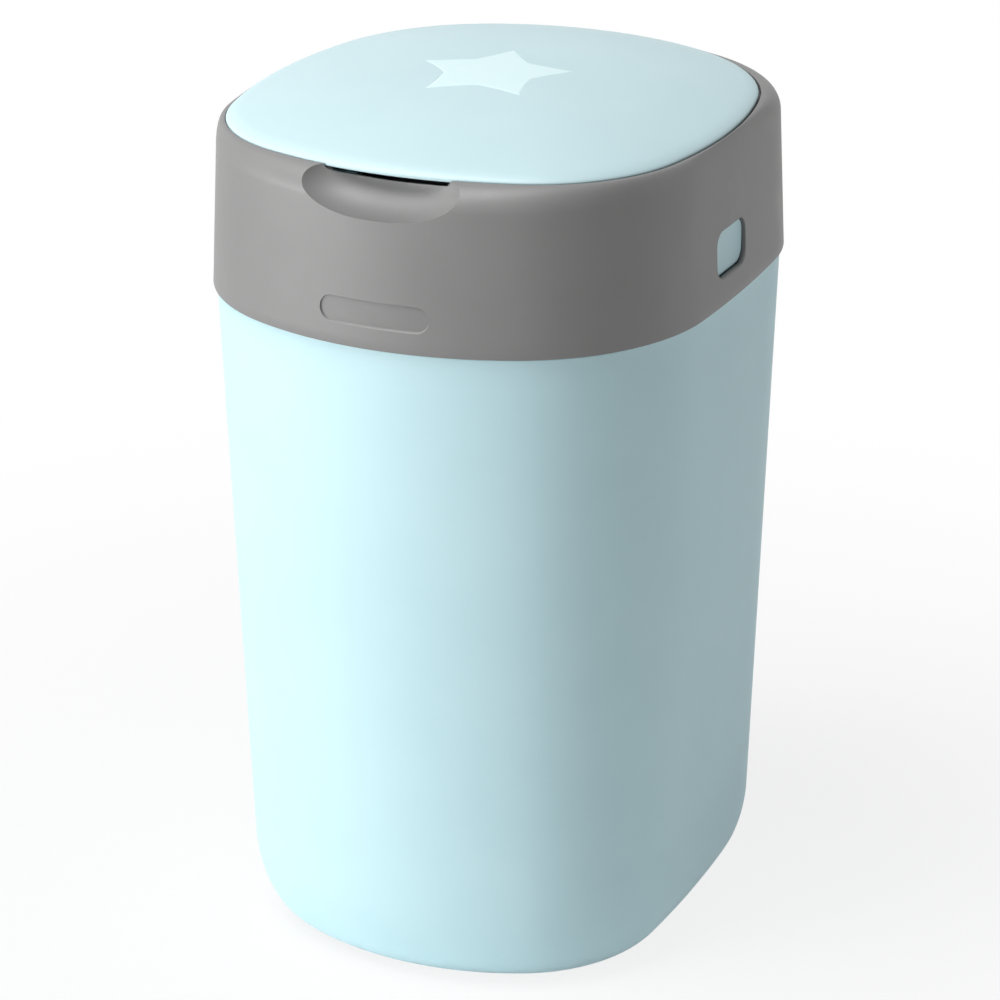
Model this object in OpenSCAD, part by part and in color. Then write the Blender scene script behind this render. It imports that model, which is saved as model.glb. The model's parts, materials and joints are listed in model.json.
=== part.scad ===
// Nappy bin: a tub, a hinged head that holds a twist-to-seal film cassette, and a hinged lid.
// The bin faces -Y and stands on Z = 0. The cassette turns about the Z axis.

/* [Body outline] */
// From the cassette's well out to the collar's foot, at each side
side_room = 30.8; // [30:0.1:34]
// From the cassette's well out to the collar's foot, at the front and the rear
end_room = 51.55; // [50.5:0.05:55]
// How far the widest line lies in front of the middle
widest_ahead = 9.25; // [7:0.05:11]
// Radius of the side arcs
side_arc_r = 876; // [780:1:980]
// Radius of the front arc
front_arc_r = 176.5; // [170:0.5:183]
// Radius of the rear arc
back_arc_r = 203; // [196:0.5:210]
// Radius of the front corners
front_corner_r = 106; // [100:0.5:110]
// Radius of the rear corners
back_corner_r = 99.5; // [94:0.5:105]

/* [Tub] */
// Height of the seam between tub and collar
seam_z = 362.4; // [350:0.2:375]
// How far the tub's skin lies inside the collar's skin
tub_inset = 2; // [1.6:0.1:2.6]
// Height of the crease where the tub starts to curve in
crease_z = 42; // [36:0.5:50]
// Draft of the tub's sides, from the seam down to the crease
tub_side_draft = 11.5; // [8:0.5:14]
// Draft of the tub's front
tub_front_draft = 15.2; // [12:0.2:18]
// Draft of the tub's rear
tub_back_draft = 14.2; // [11:0.2:17]
// Growth of the front corner radius at the crease
front_corner_growth = 3; // [0:0.5:5]
// Growth of the rear corner radius at the crease
back_corner_growth = -1.8; // [-4:0.2:2]
// How far the base curves in below the crease
base_tuck = 24.7; // [20:0.1:28]
// Wall of the tub
tub_wall = 2.8; // [2.2:0.1:3.4]
// Width of the rim flange, from the tub's skin inward
rim_w = 14; // [13:0.5:15]
// Thickness of the rim flange
rim_t = 3; // [2.4:0.1:4]
// Height of the foot pads below the base
foot_proud = 1; // [0.6:0.1:2]
// Radius of a foot pad
foot_r = 9; // [6:0.5:12]

/* [Collar] */
// Height of the collar from the seam to the lid's edge
collar_h = 86.6; // [84:0.2:90]
// Draft of the collar's wall up to the shoulder
collar_draft = 3.2; // [2:0.1:4]
// Height of the rounded shoulder
shoulder_h = 13; // [11:0.5:14]
// Wall of the collar
collar_wall = 2.5; // [2:0.1:3]

/* [Lid] */
// From the collar's top edge in to the lid's edge, at the sides
lid_side_inset = 2.5; // [2.4:0.1:4]
// The same at the front
lid_front_inset = 15.5; // [14:0.1:17]
// The same at the rear
lid_back_inset = 14; // [13.6:0.1:14.6]
// Radius of the lid's side arcs
lid_side_r = 267.4; // [250:0.2:285]
// Radius of the lid's front arc
lid_front_r = 213.9; // [205:0.1:222]
// Radius of the lid's rear arc
lid_back_r = 156.4; // [153:0.1:160]
// Radius of the lid's front corners
lid_front_corner_r = 83.1; // [78:0.1:88]
// Radius of the lid's rear corners
lid_back_corner_r = 103; // [99:0.1:106]
// Height of the lid's crown above its edge
lid_crown = 18.7; // [14:0.1:22]
// Exponent of the crown's curve
crown_power = 2.44; // [2.2:0.02:2.6]
// Height of the round that the crown ends in at its edge
edge_round_h = 2.2; // [1.6:0.1:2.6]
// Width of that round as a share of the way in to the middle
edge_round_w = 0.055; // [0.045:0.005:0.07]
// Wall of the lid
lid_wall = 2.4; // [2:0.1:2.8]
// Gap between the lid's edge and the collar
lid_gap = 1; // [0.8:0.1:1.2]
// Width of the collar's flat land round the lid
land_w = 0.6; // [0.4:0.1:0.8]
// Radius of the star inlay's tips
star_r = 42.5; // [30:0.5:50]
// Turn of the star from straight back
star_turn = 8; // [-36:1:36]
// Radius of the star's notches as a share of its tips
star_notch = 0.58; // [0.45:0.01:0.65]
// Hollow of the star's sides as a share of their radius
star_hollow = 0.03; // [0.01:0.01:0.08]
// Thickness of the star inlay
star_t = 0.8; // [0.6:0.1:1.2]

/* [Finger scoop and recess] */
// Half the width of the scoop
scoop_half_w = 47; // [42:0.5:50]
// Height of the scoop, below the lid's edge
scoop_h = 20; // [18:0.5:21]
// Depth of the scoop behind the front skin
scoop_depth = 24; // [20:0.5:24]
// Fullness of the scoop's ends, where 2 is an ellipse
scoop_fullness = 2.5; // [2:0.1:3]
// Height of the slit between the scoop's back wall and the lid
scoop_slit = 4; // [3:0.1:4.4]
// Width of the bare badge recess
recess_w = 60; // [40:1:64]
// Height of the recess
recess_h = 13.5; // [10:0.5:16]
// Height of the recess's centre above the seam
recess_up = 18.4; // [16:0.2:22]
// Depth of the recess
recess_depth = 0.9; // [0.6:0.1:1.4]

/* [Release buttons and latches] */
// Width of the button window along the side
window_w = 39; // [36:0.5:42]
// Height of the window
window_h = 25; // [22:0.5:28]
// Corner radius of the window
window_r = 8; // [5:0.5:10]
// Window centre behind the widest line
window_back = 0; // [-4:0.5:4]
// Window centre above the seam
window_up = 27.2; // [26:0.1:30]
// Gap round the button in its window
button_gap = 0.6; // [0.4:0.1:0.9]
// How far the button lies behind the skin
button_recess = 1.6; // [1.2:0.1:2]
// Travel of the button
button_travel = 2.5; // [1.5:0.1:2.6]
// Radius of the button's plunger
plunger_r = 7; // [6:0.2:7.4]
// Wire of the button's spring
spring_wire = 0.8; // [0.6:0.1:0.9]
// Width of the latch arm
latch_w = 20; // [16:1:24]
// Thickness of the latch arm
latch_t = 2; // [1.6:0.1:2]
// Height of the latch's hook
hook_h = 7; // [6:0.5:9]
// Reach of the hook under the keeper
hook_reach = 5; // [4:0.2:6]
// Thickness of the keeper plate
keeper_t = 2; // [1.5:0.1:2.5]
// Length of the keeper plate past each side of the latch
keeper_end = 10; // [8:0.5:12]
// Gap between the latch arm and the keeper
keeper_gap = 1.4; // [1:0.1:1.8]

/* [Head hinge] */
// Axis of the head's hinge in front of the rear skin
head_axis_in = 9.75; // [9.5:0.05:10.5]
// Axis of the head's hinge above the seam
head_axis_up = 12.6; // [12.2:0.1:13.5]
// Radius of the hinge barrel
head_barrel_r = 6.5; // [5.8:0.1:6.8]
// Length of the hinge barrel
head_barrel_l = 59; // [50:0.5:60]
// Width of each bracket ear
bracket_ear_w = 6; // [4:0.2:6]
// Radius of the hinge pin
head_pin_r = 2.5; // [2:0.1:3]
// Spacing of the bracket's screws
bracket_screw_gap = 22; // [16:0.5:24]

/* [Lid hinge] */
// Axis of the lid's hinge behind the lid's rear edge
lid_axis_out = 5.45; // [5.4:0.05:5.8]
// Axis of the lid's hinge below the lid's edge
lid_axis_down = 5.5; // [5.2:0.1:5.6]
// Radius of the lid's hinge barrel
lid_barrel_r = 3.6; // [3.2:0.1:3.6]
// Length of the lid's hinge barrel
lid_barrel_l = 47; // [40:0.5:48]
// Width of each lid ear
lid_ear_w = 6; // [4:0.2:6]
// Radius of the lid's hinge pin
lid_pin_r = 1.6; // [1.2:0.1:1.9]

/* [Head base and panel] */
// Thickness of the head's base plate
base_t = 3; // [2.4:0.1:3.6]
// Gap between the cassette's core and the throat's edge
throat_gap = 4; // [2.5:0.5:5]
// Depth of the throat tube below the base plate
throat_l = 12; // [8:0.5:16]
// Wall of the throat tube and of the well
well_wall = 2.2; // [1.8:0.1:2.6]
// Thickness of the inner panel
panel_t = 3; // [2.4:0.1:3.4]
// Top of the inner panel below the lid's edge
panel_down = 12.8; // [12.6:0.1:13.4]
// Radius of a screw post
post_r = 5; // [4:0.2:5.6]
// Length of a post screw above the base plate
post_screw_l = 14; // [10:1:20]

/* [Twist ring and cassette] */
// Outer radius of the film cassette
cassette_r = 93; // [91:0.5:95]
// Running gap between neighbours in the turning stack
stack_gap = 1; // [0.8:0.1:1.2]
// Gap between the teeth's tips and the well
tip_gap = 1.5; // [1.2:0.1:2]
// Depth of the cassette's film store, between its core and its outer wall
film_depth = 33; // [31:0.5:34]
// Height of the cassette
cassette_h = 55.8; // [50:0.2:56.6]
// Wall of the cassette
cassette_wall = 2; // [1.4:0.1:2.4]
// Wall of the twist ring
ring_wall = 2.5; // [2:0.1:3]
// Number of ratchet teeth
teeth = 48; // [36:12:60]
// Height of a tooth out from the ring
tooth_h = 3; // [2:0.1:3]
// Reach of the grip ring out past the twist ring
grip_reach = 10.5; // [8:0.5:11]
// Thickness of the grip ring
grip_t = 3.4; // [2.6:0.1:3.6]
// Height of the finger grips on the grip ring
finger_h = 3.2; // [2:0.1:3.2]
// Thickness of the film
film_t = 0.8; // [0.6:0.1:1.2]
// Drop of the film's knot below the base plate
knot_drop = 38; // [36:1:44]

/* [Pawl and cutter] */
// Direction of the pawl's post, seen from above
pawl_angle = -75; // [-80:1:-68]
// Distance of the pawl's pin from the well
pawl_out = 7.8; // [7:0.2:8.6]
// Side reach of the pawl from its pin to its tip
pawl_reach = 20; // [18:0.5:22]
// Thickness of the pawl
pawl_t = 6; // [4:0.5:8]
// Length of the cutter's rail
rail_l = 92; // [80:1:96]
// Length of the cutter's slide
slide_l = 16; // [12:0.5:20]
// Travel of the cutter
cutter_travel = 60; // [40:1:60]

/* [Fits and screws] */
// Running clearance round a shaft
run_gap = 0.06; // [0.04:0.01:0.08]
// Clearance between fixed pieces
fit_gap = 0.3; // [0.2:0.05:0.4]
// Radius of a screw's shank
screw_r = 1.7; // [1.4:0.1:2]
// Radius of a screw's head
screw_head_r = 3.4; // [3:0.1:3.8]

/* [Hidden] */

aqua = "#c9e9ee";
pale_aqua = "#e2f7fa";
warm_grey = "#9a9896";
dark_grey = "#5c5c5e";
white_plastic = "#eceff0";
steel = "#b9bcc0";
rubber = "#3a3c40";

// Steps along the arcs of an outline
side_steps = 3;
corner_steps = 8;
front_steps = 8;
back_steps = 4;
shoulder_steps = 5;
base_steps = 5;
cut = 0.5; // how far a cutting shape runs past the face that it opens

// Radii of the turning stack, from the cassette outward
ring_in_r = cassette_r + stack_gap;
ring_out_r = ring_in_r + ring_wall;
root_r = ring_out_r + stack_gap;
tip_r = root_r + tooth_h;
well_r = tip_r + tip_gap;
well_out_r = well_r + well_wall;
core_r = cassette_r - film_depth;
throat_r = core_r + throat_gap;
grip_r = ring_out_r + grip_reach;
pawl_post_at = well_out_r + pawl_out;
pawl_pin_r = 2;
pin_foot = 8; // foot of the pawl's pin above the base plate
ring_ledge = 20; // width of the twist ring's floor, which carries the cassette
lid_seal_gap = 4.5; // from the grip ring out to the lid's seal
lid_seal_w = 3;

// Outlines: half width, reach to the front, reach to the rear, then the arc radii
half_w = well_out_r + side_room;
front_reach = well_out_r + end_room - widest_ahead;
back_reach = well_out_r + end_room + widest_ahead;
widest_y = -widest_ahead;
collar_o = [half_w, front_reach, back_reach, side_arc_r, front_arc_r, back_arc_r,
    front_corner_r, back_corner_r];
front_y = widest_y - front_reach;
rear_y = widest_y + back_reach;
lid_o = [half_w - collar_draft - lid_side_inset, front_reach - collar_draft - lid_front_inset,
    back_reach - collar_draft - lid_back_inset, lid_side_r, lid_front_r, lid_back_r,
    lid_front_corner_r, lid_back_corner_r];
lid_rear_y = widest_y + lid_o[2];
lid_mid = [0, widest_y + (lid_o[2] - lid_o[1])/2];

// Heights
lid_z = seam_z + collar_h;
shoulder_z = lid_z - shoulder_h;
rim_z = seam_z - 0.5;
seal_t = 1;
base_z = rim_z + seal_t + 0.1;
floor_z = base_z + base_t;
panel_z = lid_z - panel_down - panel_t;
panel_top = panel_z + panel_t;
lid_edge_h = 1.2;
lid_rest_z = lid_z - lid_edge_h - 0.3;
liner_t = 2.2;
liner_in = 5.6; // from the lid's edge in to the liner's
liner_z = lid_z - 4.4;
rib_z = floor_z + 0.2;
rib_t = 2;

// Levels of the turning stack
bearing_t = 3;
ring_z = floor_z + bearing_t + 0.1;
tray_z = ring_z + ring_wall + 0.1;
tray_top = tray_z + cassette_h;
ring_top = panel_top + 0.6;
tooth_z = panel_z - 13;
tooth_t = 10;
pawl_z = tooth_z + 2;
pawl_spring_h = 3.6;
cap_t = 2;

// Latch and button places
window_y = widest_y + window_back;
window_z = seam_z + window_up;
latch_x = half_w - tub_inset - rim_w - 1;
skin_x = half_w - collar_draft*window_up/(shoulder_z - seam_z);
button_x = skin_x - button_recess;
button_flange_x = skin_x - collar_wall - 1.3;
flange_d = 2.4;
flange_lip = 2;
guide_x = latch_x + 1.2;
guide_t = 3;
clamp_h = 7;
latch_top = panel_z - 2;
keeper_z = rim_z - rim_t - keeper_t;
hook_z = keeper_z - fit_gap - hook_h;
latch_swing = button_travel*(latch_top - hook_z)/(latch_top - window_z); // of the hook, at a full press
press_gap = 0.02; // round a pin that sits fast in its ears

// Hinge axes
head_axis = [rear_y - head_axis_in, seam_z + head_axis_up];
lid_axis = [lid_rear_y + lid_axis_out, lid_z - lid_axis_down];
bracket_half = head_barrel_l/2 + 0.5 + bracket_ear_w;
lid_ear_half = lid_barrel_l/2 + 0.5 + lid_ear_w;
bracket_t = 2.5;

// Screw places
posts = [[half_w - 29, -72], [half_w - 29, 74], [half_w - 75, front_y + 36.75]];
foot_places = [[half_w - 67, front_y + 77.75], [half_w - 67, rear_y - 71.75]];
liner_screw_at = [[lid_o[0] - 43.3, widest_y - lid_o[1] + 53.05], [lid_o[0] - 10.8, widest_y + 15.25],
    [lid_o[0] - 67.3, lid_rear_y - 34.55]];

// ---- outlines ----

function arc(c, r, from, to, steps) =
    [for (i = [1:steps]) let(a = from + (to - from)*i/steps) c + r*[cos(a), sin(a)]];

// Centre of the corner arc that touches the side arc and the end arc
function corner_centre(side_c, side_r, end_c, end_r, corner_r) =
    let(r1 = side_r - corner_r, r2 = end_r - corner_r, d = end_c - side_c, l = norm(d),
        along = (r1*r1 - r2*r2 + l*l)/(2*l), across = sqrt(r1*r1 - along*along), u = d/l)
    side_c + u*along + [-u.y, u.x]*across;

// Quarter outline from (half_w, 0) round to (0, reach)
function quarter(half_w, reach, side_r, end_r, corner_r, end_steps) =
    let(side_c = [half_w - side_r, 0], end_c = [0, reach - end_r],
        c = corner_centre(side_c, side_r, end_c, end_r, corner_r),
        a1 = atan2(c.y - side_c.y, c.x - side_c.x), a2 = atan2(c.y - end_c.y, c.x - end_c.x))
    concat([[half_w, 0]], arc(side_c, side_r, 0, a1, side_steps), arc(c, corner_r, a1, a2, corner_steps),
        arc(end_c, end_r, a2, 90, end_steps));

// Whole outline, counterclockwise from the middle of the front
function outline(o) =
    let(front = quarter(o[0], o[1], o[3], o[4], o[6], front_steps),
        back = quarter(o[0], o[2], o[3], o[5], o[7], back_steps),
        right = concat([for (i = [len(front) - 1:-1:0]) [front[i].x, -front[i].y]],
            [for (i = [1:len(back) - 1]) back[i]]))
    [for (p = concat(right, [for (i = [len(right) - 2:-1:1]) [-right[i].x, right[i].y]]))
        [p.x, p.y + widest_y]];

function inset(o, by) = [for (v = o) v - by];
function mix(a, b, t) = [for (i = [0:len(a) - 1]) a[i]*(1 - t) + b[i]*t];
function at_z(points, z) = [for (p = points) [p.x, p.y, z]];
function draft_at(z) = collar_draft*min(1, (z - seam_z)/(shoulder_z - seam_z));

module slab(o, z, t) { translate([0, 0, z]) linear_extrude(t) polygon(outline(o)); }

// Solid through a stack of rings with equal numbers of points. A closed stack joins last to first.
module loft(rings, closed = false) {
    n = len(rings[0]);
    m = len(rings);
    sides = [for (j = [0:m - (closed ? 1 : 2)], i = [0:n - 1])
        let(k = (i + 1)%n, a = j*n + i, b = j*n + k, c = (j + 1)%m*n + k, d = (j + 1)%m*n + i)
        each [[a, c, b], [a, d, c]]];
    caps = closed ? [] : [[for (i = [0:n - 1]) i], [for (i = [n - 1:-1:0]) (m - 1)*n + i]];
    polyhedron([for (r = rings) each r], concat(sides, caps), convexity = 10);
}

// ---- small shapes ----

module tube(r_out, r_in, z, h) {
    translate([0, 0, z]) difference() {
        cylinder(h = h, r = r_out, $fn = 144);
        translate([0, 0, -cut]) cylinder(h = h + 2*cut, r = r_in, $fn = 144);
    }
}

module rod_x(r, l, at) {
    translate([0, at[0], at[1]]) rotate([0, 90, 0]) cylinder(h = l, r = r, center = true, $fn = 48);
}

// Box from its two opposite corners
module block(a, b) { translate(a) cube(b - a); }

module both_sides() {
    children();
    mirror([1, 0, 0]) children();
}

// Pan-head screw that points up from its head at the given place
module screw_up(l) {
    translate([0, 0, -2]) cylinder(h = 2, r = screw_head_r, $fn = 32);
    cylinder(h = l, r = screw_r, $fn = 32);
}

module rounded_rect(w, h, r) {
    square([w - 2*r, h], center = true);
    square([w, h - 2*r], center = true);
    for (x = [-1, 1], y = [-1, 1]) translate([x*(w/2 - r), y*(h/2 - r)]) circle(r = r, $fn = 48);
}

// Prism on the right side whose outline is a rounded rectangle centred on the button
module side_prism(w, h, r, x, d) {
    translate([x, window_y, window_z]) rotate([90, 0, 90]) linear_extrude(d) rounded_rect(w, h, r);
}

// Coil along +Z
module coil(r, wire, h, turns) {
    steps = 14;
    sides = 6;
    rings = [for (i = [0:steps*turns]) let(a = 360*i/steps, z = wire/2 + (h - wire)*i/(steps*turns))
        [for (k = [0:sides - 1]) let(b = -360*k/sides, s = r + wire/2*cos(b))
            [s*cos(a), s*sin(a), z - wire/2*sin(b)]]];
    loft(rings);
}

// Thin closed band of thickness t along a path in the (radius, height) plane
function path_normal(path, i) =
    let(d = path[min(i + 1, len(path) - 1)] - path[max(i - 1, 0)]) [-d.y, d.x]/norm(d);
function band(path, t) = concat(
    [for (i = [0:len(path) - 1]) path[i] + path_normal(path, i)*t/2],
    [for (i = [len(path) - 1:-1:0]) path[i] - path_normal(path, i)*t/2]);

// ---- tub ----

function tub_o(side_i, front_i, back_i, front_dr, back_dr) = [collar_o[0] - side_i,
    collar_o[1] - front_i, collar_o[2] - back_i, collar_o[3] - side_i, collar_o[4] - front_i,
    collar_o[5] - back_i, collar_o[6] - front_i + front_dr, collar_o[7] - back_i + back_dr];

// Tub outline at a share of the draft (0 at the seam, 1 at the crease), moved in by a distance
function tub_ring(share, by) = tub_o(tub_inset + share*tub_side_draft + by,
    tub_inset + share*tub_front_draft + by, tub_inset + share*tub_back_draft + by,
    share*front_corner_growth, share*back_corner_growth);
function draft_share(z) = (seam_z - z)/(seam_z - crease_z);

module tub_shell() {
    flange_z = rim_z - rim_t;
    inner_floor = foot_proud + tub_wall;
    outside = concat(
        [for (i = [base_steps:-1:0]) let(a = 90*i/base_steps)
            at_z(outline(tub_ring(1, base_tuck*(1 - cos(a)))),
                foot_proud + (crease_z - foot_proud)*(1 - sin(a)))],
        [at_z(outline(tub_ring(0, 0)), rim_z)]);
    inside = concat(
        [at_z(outline(tub_ring(0, rim_w)), rim_z), at_z(outline(tub_ring(0, rim_w)), flange_z),
            at_z(outline(tub_ring(draft_share(flange_z), tub_wall)), flange_z)],
        [for (i = [0:base_steps]) let(a = 90*i/base_steps)
            at_z(outline(tub_ring(1, tub_wall + (base_tuck - tub_wall)*(1 - cos(a)))),
                inner_floor + (crease_z - inner_floor)*(1 - sin(a)))]);
    color(aqua) difference() {
        loft(concat(outside, inside));
        for (p = bracket_screw_places()) translate([p.x, p.y, flange_z - cut])
            cylinder(h = rim_t + 2*cut, r = screw_r, $fn = 32);
        both_sides() for (y = keeper_screw_ys()) translate([keeper_screw_x(), y, flange_z - cut])
            cylinder(h = rim_t + 2*cut, r = screw_r, $fn = 32);
    }
}

module foot_pads() {
    color(rubber) both_sides() for (p = foot_places)
        translate([p.x, p.y, 0]) cylinder(h = foot_proud, r = foot_r, $fn = 48);
}

module rim_seal() {
    color(rubber) difference() {
        slab(tub_ring(0, rim_w - 4), rim_z, seal_t);
        slab(tub_ring(0, rim_w - 0.6), rim_z - cut, seal_t + 2*cut);
    }
}

bracket_front_y = head_axis[0] - 1.6;
bracket_rear_y = head_axis[0] + 4.4;
ear_stem_half = 2.5;
function bracket_screw_places() = [for (i = [-1, 0, 1])
    [i*bracket_screw_gap, (bracket_front_y + bracket_rear_y)/2]];

module hinge_bracket() {
    color(steel) difference() {
        union() {
            block([-bracket_half, bracket_front_y, rim_z], [bracket_half, bracket_rear_y, rim_z + bracket_t]);
            both_sides() {
                translate([bracket_half - bracket_ear_w/2, 0, 0])
                    rod_x(head_barrel_r - 0.5, bracket_ear_w, head_axis);
                block([bracket_half - bracket_ear_w, head_axis[0] - ear_stem_half, rim_z],
                    [bracket_half, head_axis[0] + ear_stem_half, head_axis[1]]);
            }
        }
        rod_x(head_pin_r + press_gap, 2*bracket_half + 2*cut, head_axis);
        for (p = bracket_screw_places()) translate([p.x, p.y, rim_z - cut])
            cylinder(h = bracket_t + 2*cut, r = screw_r + 0.2, $fn = 32);
    }
}

module bracket_screws() {
    color(steel) for (p = bracket_screw_places())
        translate([p.x, p.y, rim_z + bracket_t]) mirror([0, 0, 1]) screw_up(bracket_t + rim_t);
}

// Keepers: plates under the rim flange that the latch hooks catch
function keeper_screw_x() = latch_x + keeper_gap + 6.8;
function keeper_screw_ys() = [for (side = [-1, 1]) window_y + side*(latch_w + keeper_end)/2];

module latch_keepers() {
    color(steel) both_sides() difference() {
        block([latch_x + keeper_gap, window_y - latch_w/2 - keeper_end, keeper_z],
            [keeper_screw_x() + 2.4, window_y + latch_w/2 + keeper_end, keeper_z + keeper_t]);
        for (y = keeper_screw_ys()) translate([keeper_screw_x(), y, keeper_z - cut])
            cylinder(h = keeper_t + 2*cut, r = screw_r + 0.2, $fn = 32);
    }
}

module keeper_screws() {
    color(steel) both_sides() for (y = keeper_screw_ys())
        translate([keeper_screw_x(), y, keeper_z]) screw_up(keeper_t + rim_t);
}

// ---- collar ----

land_o = inset(lid_o, -lid_gap - land_w);
pocket_o = inset(lid_o, -lid_gap);
ledge_o = inset(lid_o, 2.5);
scoop_top = lid_rest_z - scoop_slit;

function scoop_back(x, z) =
    let(q = 1 - pow(abs(x)/scoop_half_w, scoop_fullness) - pow((lid_z - z)/scoop_h, 2))
    q <= 0 ? -1e6 : front_y + draft_at(z) + scoop_depth*sqrt(q);

// Ring of the collar's section, pushed back behind the scoop by a wall of the given thickness
function collar_ring(o, z, wall) = [for (p = outline(o))
    let(zz = min(z, scoop_top), back = p.y < 0 ? scoop_back(p.x, zz) + wall : -1e6)
    p.y < back ? [p.x, back, zz] : [p.x, p.y, z]];

module collar_shell() {
    top_o = inset(collar_o, collar_draft);
    outside = concat(
        [for (z = [seam_z, lid_z - scoop_h - 0.6, lid_z - scoop_h + 1, lid_z - scoop_h + 3])
            collar_ring(inset(collar_o, draft_at(z)), z, 0)],
        [for (i = [0:shoulder_steps]) let(a = 90*i/shoulder_steps)
            collar_ring(mix(top_o, land_o, 1 - cos(a)), shoulder_z + shoulder_h*sin(a), 0)]);
    function wall_ring(z, in, wall) = collar_ring(inset(collar_o, draft_at(z) + collar_wall + in), z, wall);
    inside = [
        collar_ring(pocket_o, lid_z, 0.8), collar_ring(pocket_o, lid_rest_z, 1.2),
        collar_ring(ledge_o, lid_rest_z, 2), collar_ring(ledge_o, lid_rest_z - 2.2, 2.4),
        collar_ring(mix(ledge_o, inset(collar_o, collar_draft + collar_wall), 0.5),
            (lid_rest_z - 2.2 + shoulder_z)/2, 2.2),
        wall_ring(shoulder_z, 0, 2.2), wall_ring(panel_z, 0, 2.2), wall_ring(panel_z, 4, 3),
        wall_ring(panel_z - rib_t, 4, 3), wall_ring(panel_z - rib_t, 0, 2.2),
        wall_ring(rib_z + rib_t, 0, 0), wall_ring(rib_z + rib_t, 3, 0), wall_ring(rib_z, 3, 0),
        wall_ring(rib_z, 0, 0), wall_ring(seam_z, 0, 0)];
    color(warm_grey) difference() {
        loft(concat(outside, inside), closed = true);
        both_sides() side_prism(window_w, window_h, window_r, skin_x - 10, 20);
        slab(inset(lid_o, -fit_gap), lid_rest_z, lid_edge_h + lid_crown);
        badge_cutter();
        hinge_cutouts();
    }
}

// Shallow rounded bar that follows the front arc
module badge_cutter() {
    skin_r = front_arc_r - draft_at(seam_z + recess_up);
    intersection() {
        translate([0, front_y + front_arc_r, 0])
            tube(skin_r + 10, skin_r - recess_depth, seam_z + recess_up - recess_h, 2*recess_h);
        translate([0, front_y + 30, seam_z + recess_up]) rotate([90, 0, 0]) linear_extrude(40)
            rounded_rect(recess_w, recess_h, recess_h/2 - 0.01);
    }
}

head_cut_half = bracket_half + 2;
lid_cut_half = lid_ear_half + 6;
module hinge_cutouts() {
    block([-head_cut_half, head_axis[0] - 20, seam_z - cut],
        [head_cut_half, rear_y + cut, head_axis[1] + head_barrel_r + 1.5]);
    block([-head_cut_half - 20, head_axis[0] - 20, seam_z - cut],
        [head_cut_half + 20, rear_y + cut, seam_z + 1.6]);
    intersection() {
        slab(inset(collar_o, collar_draft + 1.8), panel_top + fit_gap, lid_z);
        block([-lid_cut_half, lid_axis[0] - 12, panel_top + fit_gap], [lid_cut_half, rear_y, lid_z + cut]);
    }
}

// ---- head base: plate, throat, well and the guides for the buttons ----

module pawl_frame() { rotate([0, 0, pawl_angle]) children(); }

tip_at = [sqrt(pow(root_r + 0.4, 2) - pow(pawl_reach, 2)), -pawl_reach];

module head_base() {
    plate_o = inset(collar_o, collar_wall + 0.5);
    riser_y = head_axis[0] - 17;
    web_t = 8;
    color(dark_grey) difference() {
        union() {
            slab(plate_o, base_z, base_t);
            tube(throat_r + well_wall, throat_r, base_z - throat_l, throat_l + base_t);
            tube(well_out_r, well_r, floor_z - cut, panel_z - floor_z + cut);
            block([-head_barrel_l/2, riser_y, base_z + 1],
                [head_barrel_l/2, riser_y + 3, head_axis[1] + web_t/2]);
            block([-head_barrel_l/2, riser_y, head_axis[1] - web_t/2],
                [head_barrel_l/2, head_axis[0], head_axis[1] + web_t/2]);
            rod_x(head_barrel_r, head_barrel_l, head_axis);
            pawl_frame() translate([pawl_post_at, 0, floor_z - cut])
                cylinder(h = tooth_z + 1.7 - floor_z + cut, r = post_r, $fn = 48);
            both_sides() button_guide();
        }
        translate([0, 0, base_z - cut]) cylinder(h = base_t + 2*cut, r = throat_r, $fn = 144);
        block([-head_cut_half - 1, head_axis[0] - 3.5, base_z - cut],
            [head_cut_half + 1, rear_y, floor_z + cut]);
        rod_x(head_pin_r + run_gap, head_barrel_l + 2*cut, head_axis);
        pawl_frame() {
            block([well_r - 4, -pawl_reach - 6, tooth_z + 0.4], [well_out_r + 4, -3, panel_z + cut]);
            translate([pawl_post_at, 0, floor_z + pin_foot])
                cylinder(h = tooth_z - floor_z, r = pawl_pin_r + press_gap, $fn = 32);
        }
        both_sides() {
            for (p = posts) translate([p.x, p.y, base_z - cut])
                cylinder(h = base_t + 2*cut, r = screw_r + 0.3, $fn = 32);
            block([latch_x - latch_t - latch_swing - 1.6, window_y - latch_w/2 - 1, base_z - cut],
                [latch_x + hook_reach + 1, window_y + latch_w/2 + 1, floor_z + cut]);
        }
    }
}

// Upright plate with the plunger's bore, and the block that the latch arm is screwed to
module button_guide() {
    half = latch_w/2 + 6;
    clamp_z = latch_top - clamp_h;
    difference() {
        union() {
            block([guide_x, window_y - half, floor_z - cut], [guide_x + guide_t, window_y + half, latch_top]);
            block([latch_x, window_y - latch_w/2, clamp_z],
                [guide_x + guide_t + 3, window_y + latch_w/2, latch_top]);
        }
        translate([guide_x - cut, window_y, window_z]) rotate([0, 90, 0])
            cylinder(h = guide_t + 2*cut, r = plunger_r + run_gap, $fn = 64);
        for (y = latch_screw_ys()) translate([latch_x - cut, y, latch_top - clamp_h/2]) rotate([0, 90, 0])
            cylinder(h = guide_t + 4, r = screw_r, $fn = 32);
        block([guide_x - cut, window_y - latch_w/2 - 1, floor_z - 2*cut],
            [guide_x + guide_t + cut, window_y + latch_w/2 + 1, floor_z + 6]);
    }
}

module bearing_ring() { color(white_plastic) tube(ring_out_r, ring_out_r - 9, floor_z, bearing_t); }

// ---- inner panel: the deck seen when the lid is open ----

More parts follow.
